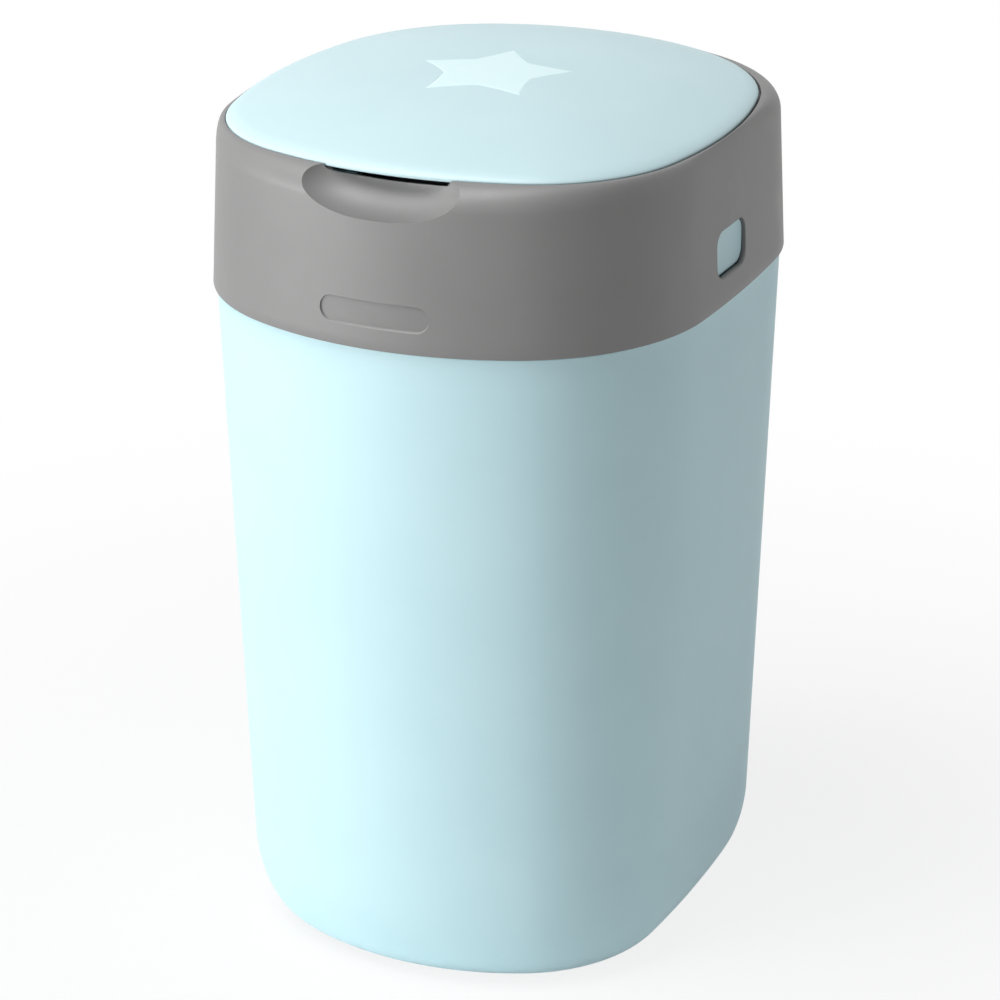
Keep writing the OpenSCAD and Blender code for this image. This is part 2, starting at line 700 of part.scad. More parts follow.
module inner_panel() {
    notch_y = scoop_back(0, panel_top) + 3.5;
    color(dark_grey) difference() {
        union() {
            slab(inset(collar_o, collar_draft + collar_wall + 0.5), panel_z, panel_t);
            both_sides() {
                for (p = posts) translate([p.x, p.y, floor_z])
                    cylinder(h = panel_z - floor_z + cut, r = post_r, $fn = 48);
                translate([lid_ear_half - lid_ear_w/2, 0, 0]) rod_x(lid_barrel_r, lid_ear_w, lid_axis);
                block([lid_ear_half - lid_ear_w, lid_axis[0] - lid_barrel_r, panel_top - cut],
                    [lid_ear_half, lid_axis[0] + lid_barrel_r, lid_axis[1]]);
            }
        }
        translate([0, 0, panel_z - cut]) cylinder(h = panel_t + 2*cut, r = ring_out_r + 0.8, $fn = 144);
        block([-scoop_half_w - 3, front_y, panel_z - cut], [scoop_half_w + 3, notch_y, panel_top + cut]);
        rod_x(lid_pin_r + press_gap, 2*lid_ear_half + 2*cut, lid_axis);
        both_sides() for (p = posts) translate([p.x, p.y, floor_z - cut])
            cylinder(h = post_screw_l + 6, r = screw_r, $fn = 32);
    }
}

module post_screws() {
    color(steel) both_sides() for (p = posts) translate([p.x, p.y, base_z]) screw_up(base_t + post_screw_l);
}

module head_hinge_pin() { color(steel) rod_x(head_pin_r, 2*bracket_half, head_axis); }
module lid_hinge_pin() { color(steel) rod_x(lid_pin_r, 2*lid_ear_half, lid_axis); }

// ---- latch arms, buttons and their springs ----

function latch_screw_ys() = [window_y - latch_w/4, window_y + latch_w/4];

module latch_arm() {
    difference() {
        union() {
            block([latch_x - latch_t, window_y - latch_w/2, hook_z],
                [latch_x, window_y + latch_w/2, latch_top]);
            translate([0, window_y + latch_w/2, 0]) rotate([90, 0, 0]) linear_extrude(latch_w)
                polygon([[latch_x - 0.1, hook_z], [latch_x, hook_z],
                    [latch_x + hook_reach, hook_z + hook_h - 2],
                    [latch_x + hook_reach, hook_z + hook_h], [latch_x - 0.1, hook_z + hook_h]]);
        }
        for (y = latch_screw_ys()) translate([latch_x - latch_t - cut, y, latch_top - clamp_h/2])
            rotate([0, 90, 0]) cylinder(h = latch_t + 2*cut, r = screw_r + 0.1, $fn = 32);
    }
}
module latch_right() { color(white_plastic) latch_arm(); }
module latch_left() { color(white_plastic) mirror([1, 0, 0]) latch_arm(); }

module latch_screws() {
    color(steel) both_sides() for (y = latch_screw_ys())
        translate([latch_x - latch_t, y, latch_top - clamp_h/2]) rotate([0, 90, 0]) screw_up(latch_t + 5);
}

module button() {
    w = window_w - 2*button_gap;
    h = window_h - 2*button_gap;
    r = window_r - button_gap;
    side_prism(w, h, r, button_flange_x - 0.1, button_x - button_flange_x + 0.1);
    side_prism(w + 2*flange_lip, h + 2*flange_lip, r + flange_lip, button_flange_x - flange_d, flange_d);
    translate([latch_x + 0.2, window_y, window_z]) rotate([0, 90, 0])
        cylinder(h = button_flange_x - flange_d - latch_x, r = plunger_r, $fn = 64);
}
module button_right() { color(aqua) button(); }
module button_left() { color(aqua) mirror([1, 0, 0]) button(); }

module button_spring() {
    from = guide_x + guide_t + 0.1;
    translate([from, window_y, window_z]) rotate([0, 90, 0])
        coil(plunger_r + 1.6, spring_wire, button_flange_x - flange_d - from - 0.1, 2.5);
}
module button_spring_right() { color(steel) button_spring(); }
module button_spring_left() { color(steel) mirror([1, 0, 0]) button_spring(); }

// ---- twist ring, grip ring and cassette ----

module twist_ring() {
    pitch = 360/teeth;
    valley = pawl_angle + atan2(tip_at.y, tip_at.x);
    color(white_plastic) {
        difference() {
            translate([0, 0, ring_z]) cylinder(h = ring_top - ring_z, r = ring_out_r, $fn = 144);
            translate([0, 0, ring_z + ring_wall]) cylinder(h = ring_top, r = ring_in_r, $fn = 144);
            translate([0, 0, ring_z - cut])
                cylinder(h = ring_wall + 2*cut, r = ring_in_r - ring_ledge, $fn = 144);
        }
        translate([0, 0, tooth_z]) linear_extrude(tooth_t) difference() {
            polygon([for (i = [0:teeth - 1], k = [0, 1])
                let(a = valley + (i + 0.85*k)*pitch, r = k == 0 ? root_r : tip_r) r*[cos(a), sin(a)]]);
            circle(r = ring_out_r - 0.5, $fn = 144);
        }
    }
}

module grip_ring() {
    spigot_r = ring_in_r - 0.1;
    bars_half = 14;
    color(aqua) {
        tube(grip_r, spigot_r - ring_wall, ring_top, grip_t);
        tube(spigot_r, spigot_r - ring_wall, ring_top - 6, 6 + cut);
        for (side = [0, 180]) rotate([0, 0, side - bars_half]) translate([0, 0, ring_top + grip_t - cut])
            rotate_extrude(angle = 2*bars_half, $fn = 144)
                translate([spigot_r + 1, 0]) square([grip_r - spigot_r - 3, finger_h + cut]);
    }
}

module cassette_tray() {
    color(white_plastic) {
        difference() {
            translate([0, 0, tray_z]) cylinder(h = cassette_h, r = cassette_r, $fn = 144);
            translate([0, 0, tray_z + cassette_wall])
                cylinder(h = cassette_h, r = cassette_r - cassette_wall, $fn = 144);
            translate([0, 0, tray_z - cut]) cylinder(h = cassette_wall + 2*cut, r = core_r, $fn = 144);
        }
        tube(core_r + cassette_wall, core_r, tray_z, cassette_h - 2);
    }
}

module cassette_cap() {
    skirt_r = cassette_r - cassette_wall - 0.1;
    color(white_plastic) {
        tube(cassette_r, core_r + 8, tray_top, cap_t);
        tube(skirt_r, skirt_r - cassette_wall, tray_top - 4, 4 + cut);
    }
}

module film_pack() {
    color(pale_aqua) tube(cassette_r - cassette_wall - 1.5, core_r + cassette_wall + 1.5,
        tray_z + cassette_wall + 0.3, cassette_h - 12);
}

// Film from the pack, over the core's lip and down to the twisted knot
module film_sleeve() {
    lip = tray_top - 2;
    knot_z = base_z - knot_drop;
    foot = base_z - throat_l;
    pack_top = tray_z + cassette_wall + cassette_h - 11.7;
    in = core_r - 0.9;
    over = core_r + cassette_wall + 2;
    path = [[over, pack_top + 0.5], [over, lip], [over - 1.2, lip + 1.6], [core_r + 1, lip + 2],
        [in + 0.3, lip + 1.2], [in, lip - 1], [in, foot], [in*0.85, foot - 8],
        [in*0.5, knot_z + 10.5], [5, knot_z + 2]];
    color(pale_aqua) {
        rotate_extrude($fn = 96) polygon(band(path, film_t));
        translate([0, 0, knot_z]) sphere(r = 8, $fn = 48);
    }
}

// ---- pawl ----

module pawl() {
    bar = [tip_at.x - pawl_post_at, tip_at.y];
    along = bar/norm(bar);
    across = [-along.y, along.x];
    pin = [pawl_post_at, 0];
    color(white_plastic) pawl_frame() translate([0, 0, pawl_z]) difference() {
        union() {
            translate(pin) cylinder(h = pawl_t, r = post_r - 0.5, $fn = 48);
            linear_extrude(pawl_t)
                polygon([pin + across*3, pin + along*16 + across*3, pin + along*(norm(bar) - 3) + across*2.6,
                    tip_at, pin + along*(norm(bar) - 4) - across*0.8, pin - across*3]);
        }
        translate([pin.x, pin.y, -cut]) cylinder(h = pawl_t + 2*cut, r = pawl_pin_r + run_gap, $fn = 32);
    }
}

module pawl_pin() {
    color(steel) pawl_frame() translate([pawl_post_at, 0, floor_z + pin_foot])
        cylinder(h = pawl_z + pawl_t + pawl_spring_h + 0.9 - floor_z - pin_foot, r = pawl_pin_r, $fn = 32);
}

module pawl_spring() {
    color(steel) pawl_frame() translate([pawl_post_at, 0, pawl_z + pawl_t + 0.1])
        coil(pawl_pin_r + spring_wire, spring_wire, pawl_spring_h, 3);
}

// ---- film cutter ----

rail_half = 5;
rail_y = -(grip_r + lid_seal_gap + lid_seal_w + 2 + rail_half);
rail_h = 3.6;
rail_floor = 0.8;
rail_stop = 2; // length of each end stop
slot_half = 3.6; // the wide part of the rail's slot, which holds the slide's foot
slot_h = 1.6;
neck_half = 2; // the narrow part of the slot
lift_gap = 0.2; // under the slide's foot and under its grip
grip_h = 3.2;
blade_t = 0.6;
blade_out = 1.2; // how far the blade's edge stands out beside the slide
blade_z = rail_h + 1.4;

// Shape along X whose section is drawn in the (Y, Z) plane about the rail's middle
module along_rail(l, x) {
    translate([x - l/2, rail_y, panel_top]) rotate([90, 0, 90]) linear_extrude(l) children();
}

module cutter_rail() {
    color(dark_grey) {
        along_rail(rail_l, 0) difference() {
            translate([-rail_half, 0]) square([2*rail_half, rail_h]);
            translate([-slot_half, rail_floor]) square([2*slot_half, slot_h]);
            translate([-neck_half, rail_floor + slot_h - cut]) square([2*neck_half, rail_h]);
        }
        for (side = [-1, 1]) along_rail(rail_stop, side*(rail_l + rail_stop)/2)
            translate([-rail_half, 0]) square([2*rail_half, rail_h + 1]);
    }
}

module cutter_slide() {
    color(aqua) difference() {
        union() {
            along_rail(slide_l, -cutter_travel/2) {
                translate([fit_gap - slot_half, rail_floor + lift_gap])
                    square([2*(slot_half - fit_gap), slot_h - 2*lift_gap]);
                translate([fit_gap - neck_half, rail_floor + lift_gap])
                    square([2*(neck_half - fit_gap), rail_h - rail_floor + cut]);
                translate([cut - rail_half, rail_h + lift_gap]) square([2*(rail_half - cut), grip_h]);
            }
        }
        along_rail(slide_l - 4, -cutter_travel/2)
            translate([2, blade_z - 0.1]) square([rail_half, blade_t + 0.2]);
    }
}

module cutter_blade() {
    color(steel) along_rail(slide_l - 4.2, -cutter_travel/2)
        translate([2.1, blade_z]) square([rail_half + blade_out - 2.1, blade_t]);
}

// ---- lid ----

function dome_z(s) =
    let(out = max(0, 1 - (1 - s)/edge_round_w)) // 0 where the round starts, 1 at the edge
    lid_z + edge_round_h*sqrt(1 - out*out) + (lid_crown - edge_round_h)*(1 - pow(s, crown_power));
function dome_ring(s, down) = [for (p = outline(lid_o))
    let(q = lid_mid + (p - lid_mid)*s) [q.x, q.y, dome_z(s) - down]];
dome_shares = [0.995, 0.985, 0.97, 0.945, 0.88, 0.8, 0.7, 0.6, 0.5, 0.42, 0.34, 0.26, 0.18, 0.1, 0.03];

// Share of the way from the lid's middle to its edge at a point, measured on the lid's outline
lid_loop = outline(lid_o);
lid_edges = [for (i = [0:len(lid_loop) - 1])
    let(a = lid_loop[i] - lid_mid, d = lid_loop[(i + 1)%len(lid_loop)] - lid_loop[i], n = [d.y, -d.x])
    n/(n*a)];
function lid_share(p) = max([for (e = lid_edges) e*(p - lid_mid)]);

// Five-pointed star with its tips at radius r and slightly hollow sides
function star_loop(r) = [for (i = [0:9], t = [0:0.25:0.75])
    let(a0 = 90 + star_turn + 36*i, a1 = a0 + 36, r0 = r*(i%2 == 0 ? 1 : star_notch),
        r1 = r*(i%2 == 0 ? star_notch : 1))
    (r0*[cos(a0), sin(a0)]*(1 - t) + r1*[cos(a1), sin(a1)]*t)*(1 - star_hollow*sin(180*t))];
star_mid = lid_mid - [0, 11.2];
function star_ring(r, s, down) = [for (p = star_loop(r))
    let(q = star_mid + p*s, at = s < 0.1 ? star_mid : q) [q.x, q.y, dome_z(lid_share(at)) - down]];
// Star as a solid between two depths below the lid's skin
module star_solid(r, top, bottom) {
    shares = [0.05, 0.35, 0.7, 1];
    loft(concat([for (s = shares) star_ring(r, s, bottom)],
        [for (i = [len(shares) - 1:-1:0]) star_ring(r, shares[i], top)]));
}

module lid_shell() {
    n = len(dome_shares);
    inner_from = 3; // the lid's underside starts inside the round
    color(aqua) difference() {
        loft(concat([for (i = [n - 1:-1:inner_from]) dome_ring(dome_shares[i], lid_wall)],
            [at_z(outline(inset(lid_o, 3)), lid_z - lid_edge_h), at_z(outline(lid_o), lid_z - lid_edge_h),
                at_z(outline(lid_o), lid_z)],
            [for (s = dome_shares) dome_ring(s, 0)]));
        star_solid(star_r + 0.1, -2, star_t);
    }
}

module star_inlay() { color(pale_aqua) star_solid(star_r, 0, star_t - 0.05); }

module lid_liner() {
    liner_o = inset(lid_o, liner_in);
    arm_half = lid_barrel_l/2;
    color(white_plastic) difference() {
        union() {
            slab(liner_o, liner_z, liner_t);
            block([-arm_half, lid_rear_y - 12, liner_z - 3.8], [arm_half, lid_axis[0], liner_z + 0.9]);
            rod_x(lid_barrel_r, lid_barrel_l, lid_axis);
            both_sides() for (p = liner_screw_at) liner_boss(p);
        }
        block([-scoop_half_w, front_y, liner_z - cut],
            [scoop_half_w, scoop_back(0, lid_rest_z) + 3.5, liner_z + liner_t + cut]);
        rod_x(lid_pin_r + run_gap, lid_barrel_l + 2*cut, lid_axis);
        both_sides() for (p = liner_screw_at) translate([p.x, p.y, liner_z - cut])
            cylinder(h = liner_t + boss_h(p) + 2*cut, r = screw_r, $fn = 32);
    }
}

function boss_h(p) = dome_z(lid_share(p)) - lid_wall - liner_z - liner_t - 1.2;
module liner_boss(p) {
    translate([p.x, p.y, liner_z + liner_t - cut]) cylinder(h = boss_h(p) + cut, r = post_r, $fn = 32);
}

module liner_screws() {
    color(steel) both_sides() for (p = liner_screw_at)
        translate([p.x, p.y, liner_z]) screw_up(liner_t + boss_h(p) - 1);
}

module lid_seal() {
    color(rubber) tube(grip_r + lid_seal_gap + lid_seal_w, grip_r + lid_seal_gap, panel_top + fit_gap,
        liner_z - panel_top - fit_gap);
}

tub_shell();
foot_pads();
rim_seal();
hinge_bracket();
bracket_screws();
latch_keepers();
keeper_screws();
head_hinge_pin();
collar_shell();
head_base();
inner_panel();
post_screws();
bearing_ring();
lid_hinge_pin();
latch_left();
latch_right();
latch_screws();
button_left();
button_right();
button_spring_left();
button_spring_right();
twist_ring();
grip_ring();
cassette_tray();
cassette_cap();
film_pack();
film_sleeve();
pawl();
pawl_pin();
pawl_spring();
cutter_rail();
cutter_slide();
cutter_blade();
lid_shell();
star_inlay();
lid_liner();
liner_screws();
lid_seal();
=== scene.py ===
# %% [markdown]
# # Dressing a nappy bin
# The bin is a tapered tub, a grey collar that holds the working parts, and a domed lid. The
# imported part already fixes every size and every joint. This lesson gives the same pieces
# their smooth skins and their finishes, one step at a time.

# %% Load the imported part
import json
import math

import bmesh
import bpy
import numpy as np
from mathutils import Matrix, Vector

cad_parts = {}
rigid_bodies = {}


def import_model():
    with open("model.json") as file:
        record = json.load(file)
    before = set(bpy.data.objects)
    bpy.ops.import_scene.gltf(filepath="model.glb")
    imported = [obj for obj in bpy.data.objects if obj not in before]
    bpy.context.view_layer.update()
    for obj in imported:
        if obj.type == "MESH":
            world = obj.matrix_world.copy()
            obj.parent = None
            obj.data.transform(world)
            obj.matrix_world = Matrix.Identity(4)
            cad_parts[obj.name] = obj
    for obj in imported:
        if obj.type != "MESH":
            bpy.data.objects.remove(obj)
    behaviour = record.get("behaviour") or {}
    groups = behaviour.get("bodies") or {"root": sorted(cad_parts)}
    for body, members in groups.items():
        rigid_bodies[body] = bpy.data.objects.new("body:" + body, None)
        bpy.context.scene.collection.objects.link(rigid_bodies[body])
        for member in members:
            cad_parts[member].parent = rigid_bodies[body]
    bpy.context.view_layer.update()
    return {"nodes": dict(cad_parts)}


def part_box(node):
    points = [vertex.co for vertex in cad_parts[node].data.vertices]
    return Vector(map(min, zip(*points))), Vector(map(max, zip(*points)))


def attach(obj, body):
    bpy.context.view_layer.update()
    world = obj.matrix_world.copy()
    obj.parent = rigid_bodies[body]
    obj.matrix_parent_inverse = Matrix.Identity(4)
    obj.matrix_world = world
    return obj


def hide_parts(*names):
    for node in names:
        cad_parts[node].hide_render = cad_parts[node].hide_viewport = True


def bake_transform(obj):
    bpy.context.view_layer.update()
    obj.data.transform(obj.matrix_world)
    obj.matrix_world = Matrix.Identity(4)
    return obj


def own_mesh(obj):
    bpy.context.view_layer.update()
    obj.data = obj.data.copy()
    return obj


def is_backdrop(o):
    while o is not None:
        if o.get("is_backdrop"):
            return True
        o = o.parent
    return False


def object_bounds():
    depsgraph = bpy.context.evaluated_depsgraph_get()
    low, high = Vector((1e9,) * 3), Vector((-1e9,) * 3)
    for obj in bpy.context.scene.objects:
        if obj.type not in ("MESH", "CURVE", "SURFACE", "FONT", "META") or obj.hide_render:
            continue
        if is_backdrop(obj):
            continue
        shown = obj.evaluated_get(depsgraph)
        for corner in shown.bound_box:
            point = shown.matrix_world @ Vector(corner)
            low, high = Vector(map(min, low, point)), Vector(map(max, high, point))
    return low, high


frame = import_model()
cad_nodes = frame["nodes"]
MM = 0.001
WELD = 0.002 * MM


def placed(name, data):
    """A new object in the scene, at the origin."""
    obj = bpy.data.objects.new(name, data)
    bpy.context.scene.collection.objects.link(obj)
    return obj


# %% [markdown]
# ## The camera
# A long lens from well back keeps the bin's tall sides nearly upright. The camera could be
# tracked to an empty, but a fixed place and turn is one less thing that can move. It looks
# down at the lid from the front, turned a little towards the right-hand button.

# %% Camera
AZIMUTH, ELEVATION, ROLL = 24.6, 21.99, -0.13
AIM = Vector((0, -9.22, 225)) * MM
DISTANCE = 2308.7 * MM
LENS, SENSOR_W, SHIFT, CLIP_END = 154.65, 36, (0.0054, 0.0062), 50

az, el = math.radians(AZIMUTH), math.radians(ELEVATION)
towards_camera = Vector((
    math.sin(az) * math.cos(el), -math.cos(az) * math.cos(el), math.sin(el)))
camera = placed("camera", bpy.data.cameras.new("camera"))
camera.location = AIM + towards_camera * DISTANCE
turn = (-towards_camera).to_track_quat("-Z", "Y").to_matrix().to_4x4()
camera.matrix_world = (
    Matrix.Translation(camera.location) @ turn @ Matrix.Rotation(math.radians(ROLL), 4, "Z"))
camera.data.lens, camera.data.sensor_width, camera.data.clip_end = LENS, SENSOR_W, CLIP_END
camera.data.shift_x, camera.data.shift_y = SHIFT
bpy.context.scene.camera = camera
print("camera at", [round(v, 3) for v in camera.location])

# %% [markdown]
# ## Shader maths as plain sums
# A finish is a small sum: a base colour, plus a little cloudiness, plus a fine grain. Wiring
# each Math node by hand hides that sum. Here a socket is wrapped in a small class, so that
# `grain * 0.2 + 0.4` adds the nodes itself.

# %% A paint box for materials
class Value:
    """A number that changes over the surface, with working operators."""

    def __init__(self, paint, socket):
        self.paint, self.socket = paint, socket

    def math(self, operation, *others):
        inputs = dict(enumerate((self, *others)))
        return self.paint.add("ShaderNodeMath", inputs, operation=operation)

    def __add__(self, other):
        return self.math("ADD", other)

    def __sub__(self, other):
        return self.math("SUBTRACT", other)

    def __mul__(self, other):
        return self.math("MULTIPLY", other)

    def __rsub__(self, other):
        return (self * -1) + other

    def step(self, low, high):
        """0 below low, 1 above high, smooth between them."""
        return self.paint.add("ShaderNodeMapRange", {0: self, 1: low, 2: high},
                              interpolation_type="SMOOTHSTEP")


class Paint:
    """One material and the nodes of its finish."""

    def __init__(self, name):
        self.material = bpy.data.materials.new(name)
        self.material.use_nodes = True
        self.tree = self.material.node_tree
        self.shader = self.tree.nodes["Principled BSDF"]
        self.output = self.tree.nodes["Material Output"]
        self.place = self.add("ShaderNodeTexCoord", {}, out="Object")

    def add(self, kind, inputs, out=0, **settings):
        """Adds a node: its settings first, then its inputs. Gives back one output."""
        node = self.tree.nodes.new(kind)
        for key, value in settings.items():
            setattr(node, key, value)
        for key, value in inputs.items():
            self.join(value, node.inputs[key])
        return Value(self, node.outputs[out])

    def join(self, value, socket):
        """Links a value that changes, and writes a constant on the socket itself."""
        if isinstance(value, Value):
            self.tree.links.new(value.socket, socket)
        elif socket.type == "RGBA":
            socket.default_value = (*value, 1)
        else:
            socket.default_value = value

    def noise(self, size, detail, stretch=(1, 1, 1)):
        """Noise from 0 to 1, with features of about this size in metres."""
        place = self.place
        if stretch != (1, 1, 1):
            place = self.add("ShaderNodeMapping", {"Vector": place, "Scale": stretch})
        inputs = {"Vector": place, "Scale": 1 / size, "Detail": detail}
        return self.add("ShaderNodeTexNoise", inputs, out="Fac")

    def height(self):
        """Height above the floor, in millimetres."""
        return self.add("ShaderNodeSeparateXYZ", {0: self.place}, out=2) * 1000

    def mix(self, factor, a, b):
        """The colour a where the factor is 0 and b where it is 1."""
        return self.add("ShaderNodeMix", {0: factor, 6: a, 7: b}, out=2, data_type="RGBA")

    def bump(self, height, depth):
        """Turns a height from 0 to 1 into a normal, for a relief of this depth in metres."""
        return self.add("ShaderNodeBump", {"Distance": depth, "Height": height})

    def finish(self, **sockets):
        """Fills the shader's sockets, named in small letters, and gives the material."""
        for name, value in sockets.items():
            label = name.replace("_", " ").title().replace("Ior", "IOR")
            self.join(value, self.shader.inputs[label])
        return self.material


# %% [markdown]
# ## Moulded plastics
# The shells are injection moulded, in a mould whose surface gives them a fine matt grain.
# A flat colour would look like paint on screen. Three scales do the work: clouds of a few
# centimetres in the colour, a grain of half a millimetre in the relief, and faint rubbed
# patches where the skin is smoother than the rest.

# %% Moulded plastic in any colour
CLOUD, PATCH, SCRATCH, FINE_GRAIN, FINE_RELIEF = 0.055, 0.03, 0.004, 0.00055, 0.00003
SCRATCH_WAY, SCUFFS_FROM, SCUFFS_TO, SCUFF_SHADE = (0.35, 0.35, 9.0), 2.0, 16.0, 0.62


def moulded(name, colour, shade, roughness,
            grain=FINE_GRAIN, depth=FINE_RELIEF, scuffed=0.0, ior=1.49):
    """Matt plastic, cloudy between a colour and its shade, with scuffs near the floor."""
    paint = Paint(name)
    clouds = paint.noise(CLOUD, 3.0)
    pores = paint.noise(grain, 1.0)
    rubbed = paint.noise(PATCH, 4.0).step(0.56, 0.72)
    tint = paint.mix(clouds.step(0.3, 0.7), colour, shade)
    if scuffed:
        lines = paint.noise(SCRATCH, 5.0, SCRATCH_WAY)
        low = 1 - paint.height().step(SCUFFS_FROM, SCUFFS_TO)
        scuffs = lines.step(0.52, 0.66) * low * scuffed
        tint = paint.mix(scuffs, tint, tuple(v * SCUFF_SHADE for v in shade))
    rough = pores * 0.1 + roughness - rubbed * 0.05
    return paint.finish(
        base_color=tint, roughness=rough, normal=paint.bump(pores, depth), ior=ior)


AQUA, AQUA_SHADE = (0.570, 0.818, 0.876), (0.553, 0.801, 0.861)
aqua_tub = moulded("aqua_tub", AQUA, AQUA_SHADE, 0.50, scuffed=0.7, ior=1.75)
aqua_lid = moulded("aqua_lid", (0.590, 0.785, 0.825), (0.577, 0.772, 0.813), 0.40)
aqua_button = moulded("aqua_button", AQUA, AQUA_SHADE, 0.38)
pale_star = moulded("pale_star", (0.76, 0.965, 0.99), (0.75, 0.955, 0.98), 0.40)
warm_grey = moulded("warm_grey", (0.214, 0.211, 0.210), (0.202, 0.199, 0.198), 0.46,
                    grain=0.0007, depth=0.00005, ior=1.65)
dark_grey = moulded("dark_grey", (0.060, 0.060, 0.064), (0.052, 0.052, 0.056), 0.50)
off_white = moulded("off_white", (0.80, 0.82, 0.83), (0.77, 0.79, 0.80), 0.42)
print("moulded finishes ready")

# %% [markdown]
# ## The outline that every shell follows
# Seen from above, the bin is a soft square of eight arcs: a long one at each side, one at
# the front, one at the rear, and four corner arcs that touch their neighbours. A circle or a
# rounded rectangle would miss the fuller back. The same function draws the collar, the tub
# and the lid, so they nest as the moulded pieces do.

# %% Outline of arcs
WIDEST_Y = -9.25
SIDE_STEPS, CORNER_STEPS, END_STEPS = 12, 26, 36


def arc(centre, radius, start, end, steps):
    """Points of an arc without its first one, which the arc before it has."""
    angles = np.linspace(start, end, steps + 1)[1:]
    return np.asarray(centre) + radius * np.stack([np.cos(angles), np.sin(angles)], 1)


def quarter(half_w, reach, side_r, end_r, corner_r):
    """A side arc, an end arc and the corner arc that touches both from inside."""
    side_c, end_c = np.array([half_w - side_r, 0.0]), np.array([0.0, reach - end_r])
    r1, r2 = side_r - corner_r, end_r - corner_r
    length = np.linalg.norm(end_c - side_c)
    along = (r1 * r1 - r2 * r2 + length * length) / (2 * length)
    across = math.sqrt(r1 * r1 - along * along)
    u = (end_c - side_c) / length
    corner_c = side_c + u * along + np.array([-u[1], u[0]]) * across
    a1 = math.atan2(*(corner_c - side_c)[::-1])
    a2 = math.atan2(*(corner_c - end_c)[::-1])
    return np.vstack([
        [[half_w, 0]],
        arc(side_c, side_r, 0, a1, SIDE_STEPS),
        arc(corner_c, corner_r, a1, a2, CORNER_STEPS),
        arc(end_c, end_r, a2, math.pi / 2, END_STEPS),
    ])


def outline(o):
    """Points in mm, counterclockwise from the middle of the front."""
    half_w, front, back, side_r, front_r, back_r, front_corner, back_corner = o
    ahead = quarter(half_w, front, side_r, front_r, front_corner)
    behind = quarter(half_w, back, side_r, back_r, back_corner)
    right = np.vstack([ahead[::-1] * [1, -1], behind[1:]])
    whole = np.vstack([right, right[-2:0:-1] * [-1, 1]])
    return whole + [0, WIDEST_Y]


# Half width, reach to the front and the back, then the radii in outline's order.
COLLAR = np.array([135, 146.5, 165, 876, 176.5, 203, 106, 99.5])
LID = np.array([129.3, 127.8, 147.8, 267.4, 213.9, 156.4, 83.1, 103])


def circle(steps):
    """Angles all the way round, in equal steps."""
    return np.linspace(0, 2 * math.pi, steps, endpoint=False)


def level(flat, z):
    """Points of the plan, all at one height."""
    return np.column_stack([flat, np.full(len(flat), z)])


def smooth(mesh, sharp):
    """Smooth shading, except across edges sharper than this many degrees."""
    mesh.shade_smooth()
    mesh.set_sharp_from_angle(angle=math.radians(sharp))


def merged(mesh):
    """A mesh opened for editing, with its doubled points made one."""
    shape = bmesh.new()
    shape.from_mesh(mesh)
    bmesh.ops.remove_doubles(shape, verts=shape.verts, dist=WELD)
    return shape


def mesh_object(name, points, faces, material, sharp=35.0):
    """Points in mm to an object in metres, smooth except across sharp edges."""
    mesh = bpy.data.meshes.new(name)
    mesh.from_pydata([tuple(p) for p in np.asarray(points) * MM], [], faces)
    mesh.materials.append(material)
    shape = merged(mesh)
    bmesh.ops.recalc_face_normals(shape, faces=shape.faces)
    shape.to_mesh(mesh)
    shape.free()
    smooth(mesh, sharp)
    return placed(name, mesh)


def skin(rings, closed=False, ladder=False):
    """Faces between rings of equal length. An open stack gets a fan, or rungs, at each end."""
    n, m = len(rings[0]), len(rings)
    points = [p for ring in rings for p in ring]
    faces = []
    for j in range(m if closed else m - 1):
        for i in range(n):
            k, up = (i + 1) % n, (j + 1) % m
            faces.append((j * n + i, j * n + k, up * n + k, up * n + i))
    if ladder:
        faces += [(row * n + i, row * n + i + 1, row * n + n - 2 - i, row * n + n - 1 - i)
                  for row in (0, m - 1) for i in range(n // 2 - 1)]
    elif not closed:
        for row in (0, m - 1):
            middle = len(points)
            points.append(np.mean(rings[row], 0))
            faces += [(row * n + i, row * n + (i + 1) % n, middle) for i in range(n)]
    return points, faces


print("outline of", len(outline(COLLAR)), "points")

# %% [markdown]
# ## The tub
# The tub is one moulding: a wall with a little draft, a base that curves in below a soft
# crease, and an inward rim that the head sits on. It could be a subdivided box, but then the
# crease and the rim would drift. A stack of outlines puts each of them at its true height.

# %% Tub
SEAM_Z, RIM_Z, CREASE_Z, BASE_Z = 362.4, 361.9, 42.0, 1.0
TUB_INSET, BASE_TUCK, TUB_WALL, RIM_W, RIM_T = 2.0, 24.7, 2.8, 14.0, 3.0
TUB_DRAFTS, FRONT_CORNER_LESS, BACK_CORNER_MORE = (11.5, 15.2, 14.2), 3, 1.8
SEAM_ROUND, RIM_ROUND, UNDER_ROUND = 0.5, 0.6, 2.0
CREASE_TURN = math.radians(11)


def tub_outline(share, by):
    """Outline at a share of the draft: 0 at the seam, 1 at the crease."""
    side, front, back = (TUB_INSET + share * draft + by for draft in TUB_DRAFTS)
    corners = front - FRONT_CORNER_LESS * share, back + BACK_CORNER_MORE * share
    return outline(COLLAR - [side, front, back, side, front, back, *corners])


def rounded(inset_a, z_a, inset_b, z_b, steps):
    """A quarter round from one (inset, height) to another; the height leads."""
    turn = np.linspace(0, math.pi / 2, steps + 1)
    return [(inset_a + (inset_b - inset_a) * (1 - math.cos(t)), z_a + (z_b - z_a) * math.sin(t))
            for t in turn]


def bowl(floor, tuck, by):
    """The base from its middle to the crease, where it is already a little turned."""
    return [
        level(tub_outline(1, by + tuck * (1 - math.cos(t) / math.cos(CREASE_TURN))),
              floor + (CREASE_Z - floor) * (1 - math.sin(t)) / (1 - math.sin(CREASE_TURN)))
        for t in np.linspace(math.pi / 2, CREASE_TURN, 17)
    ]


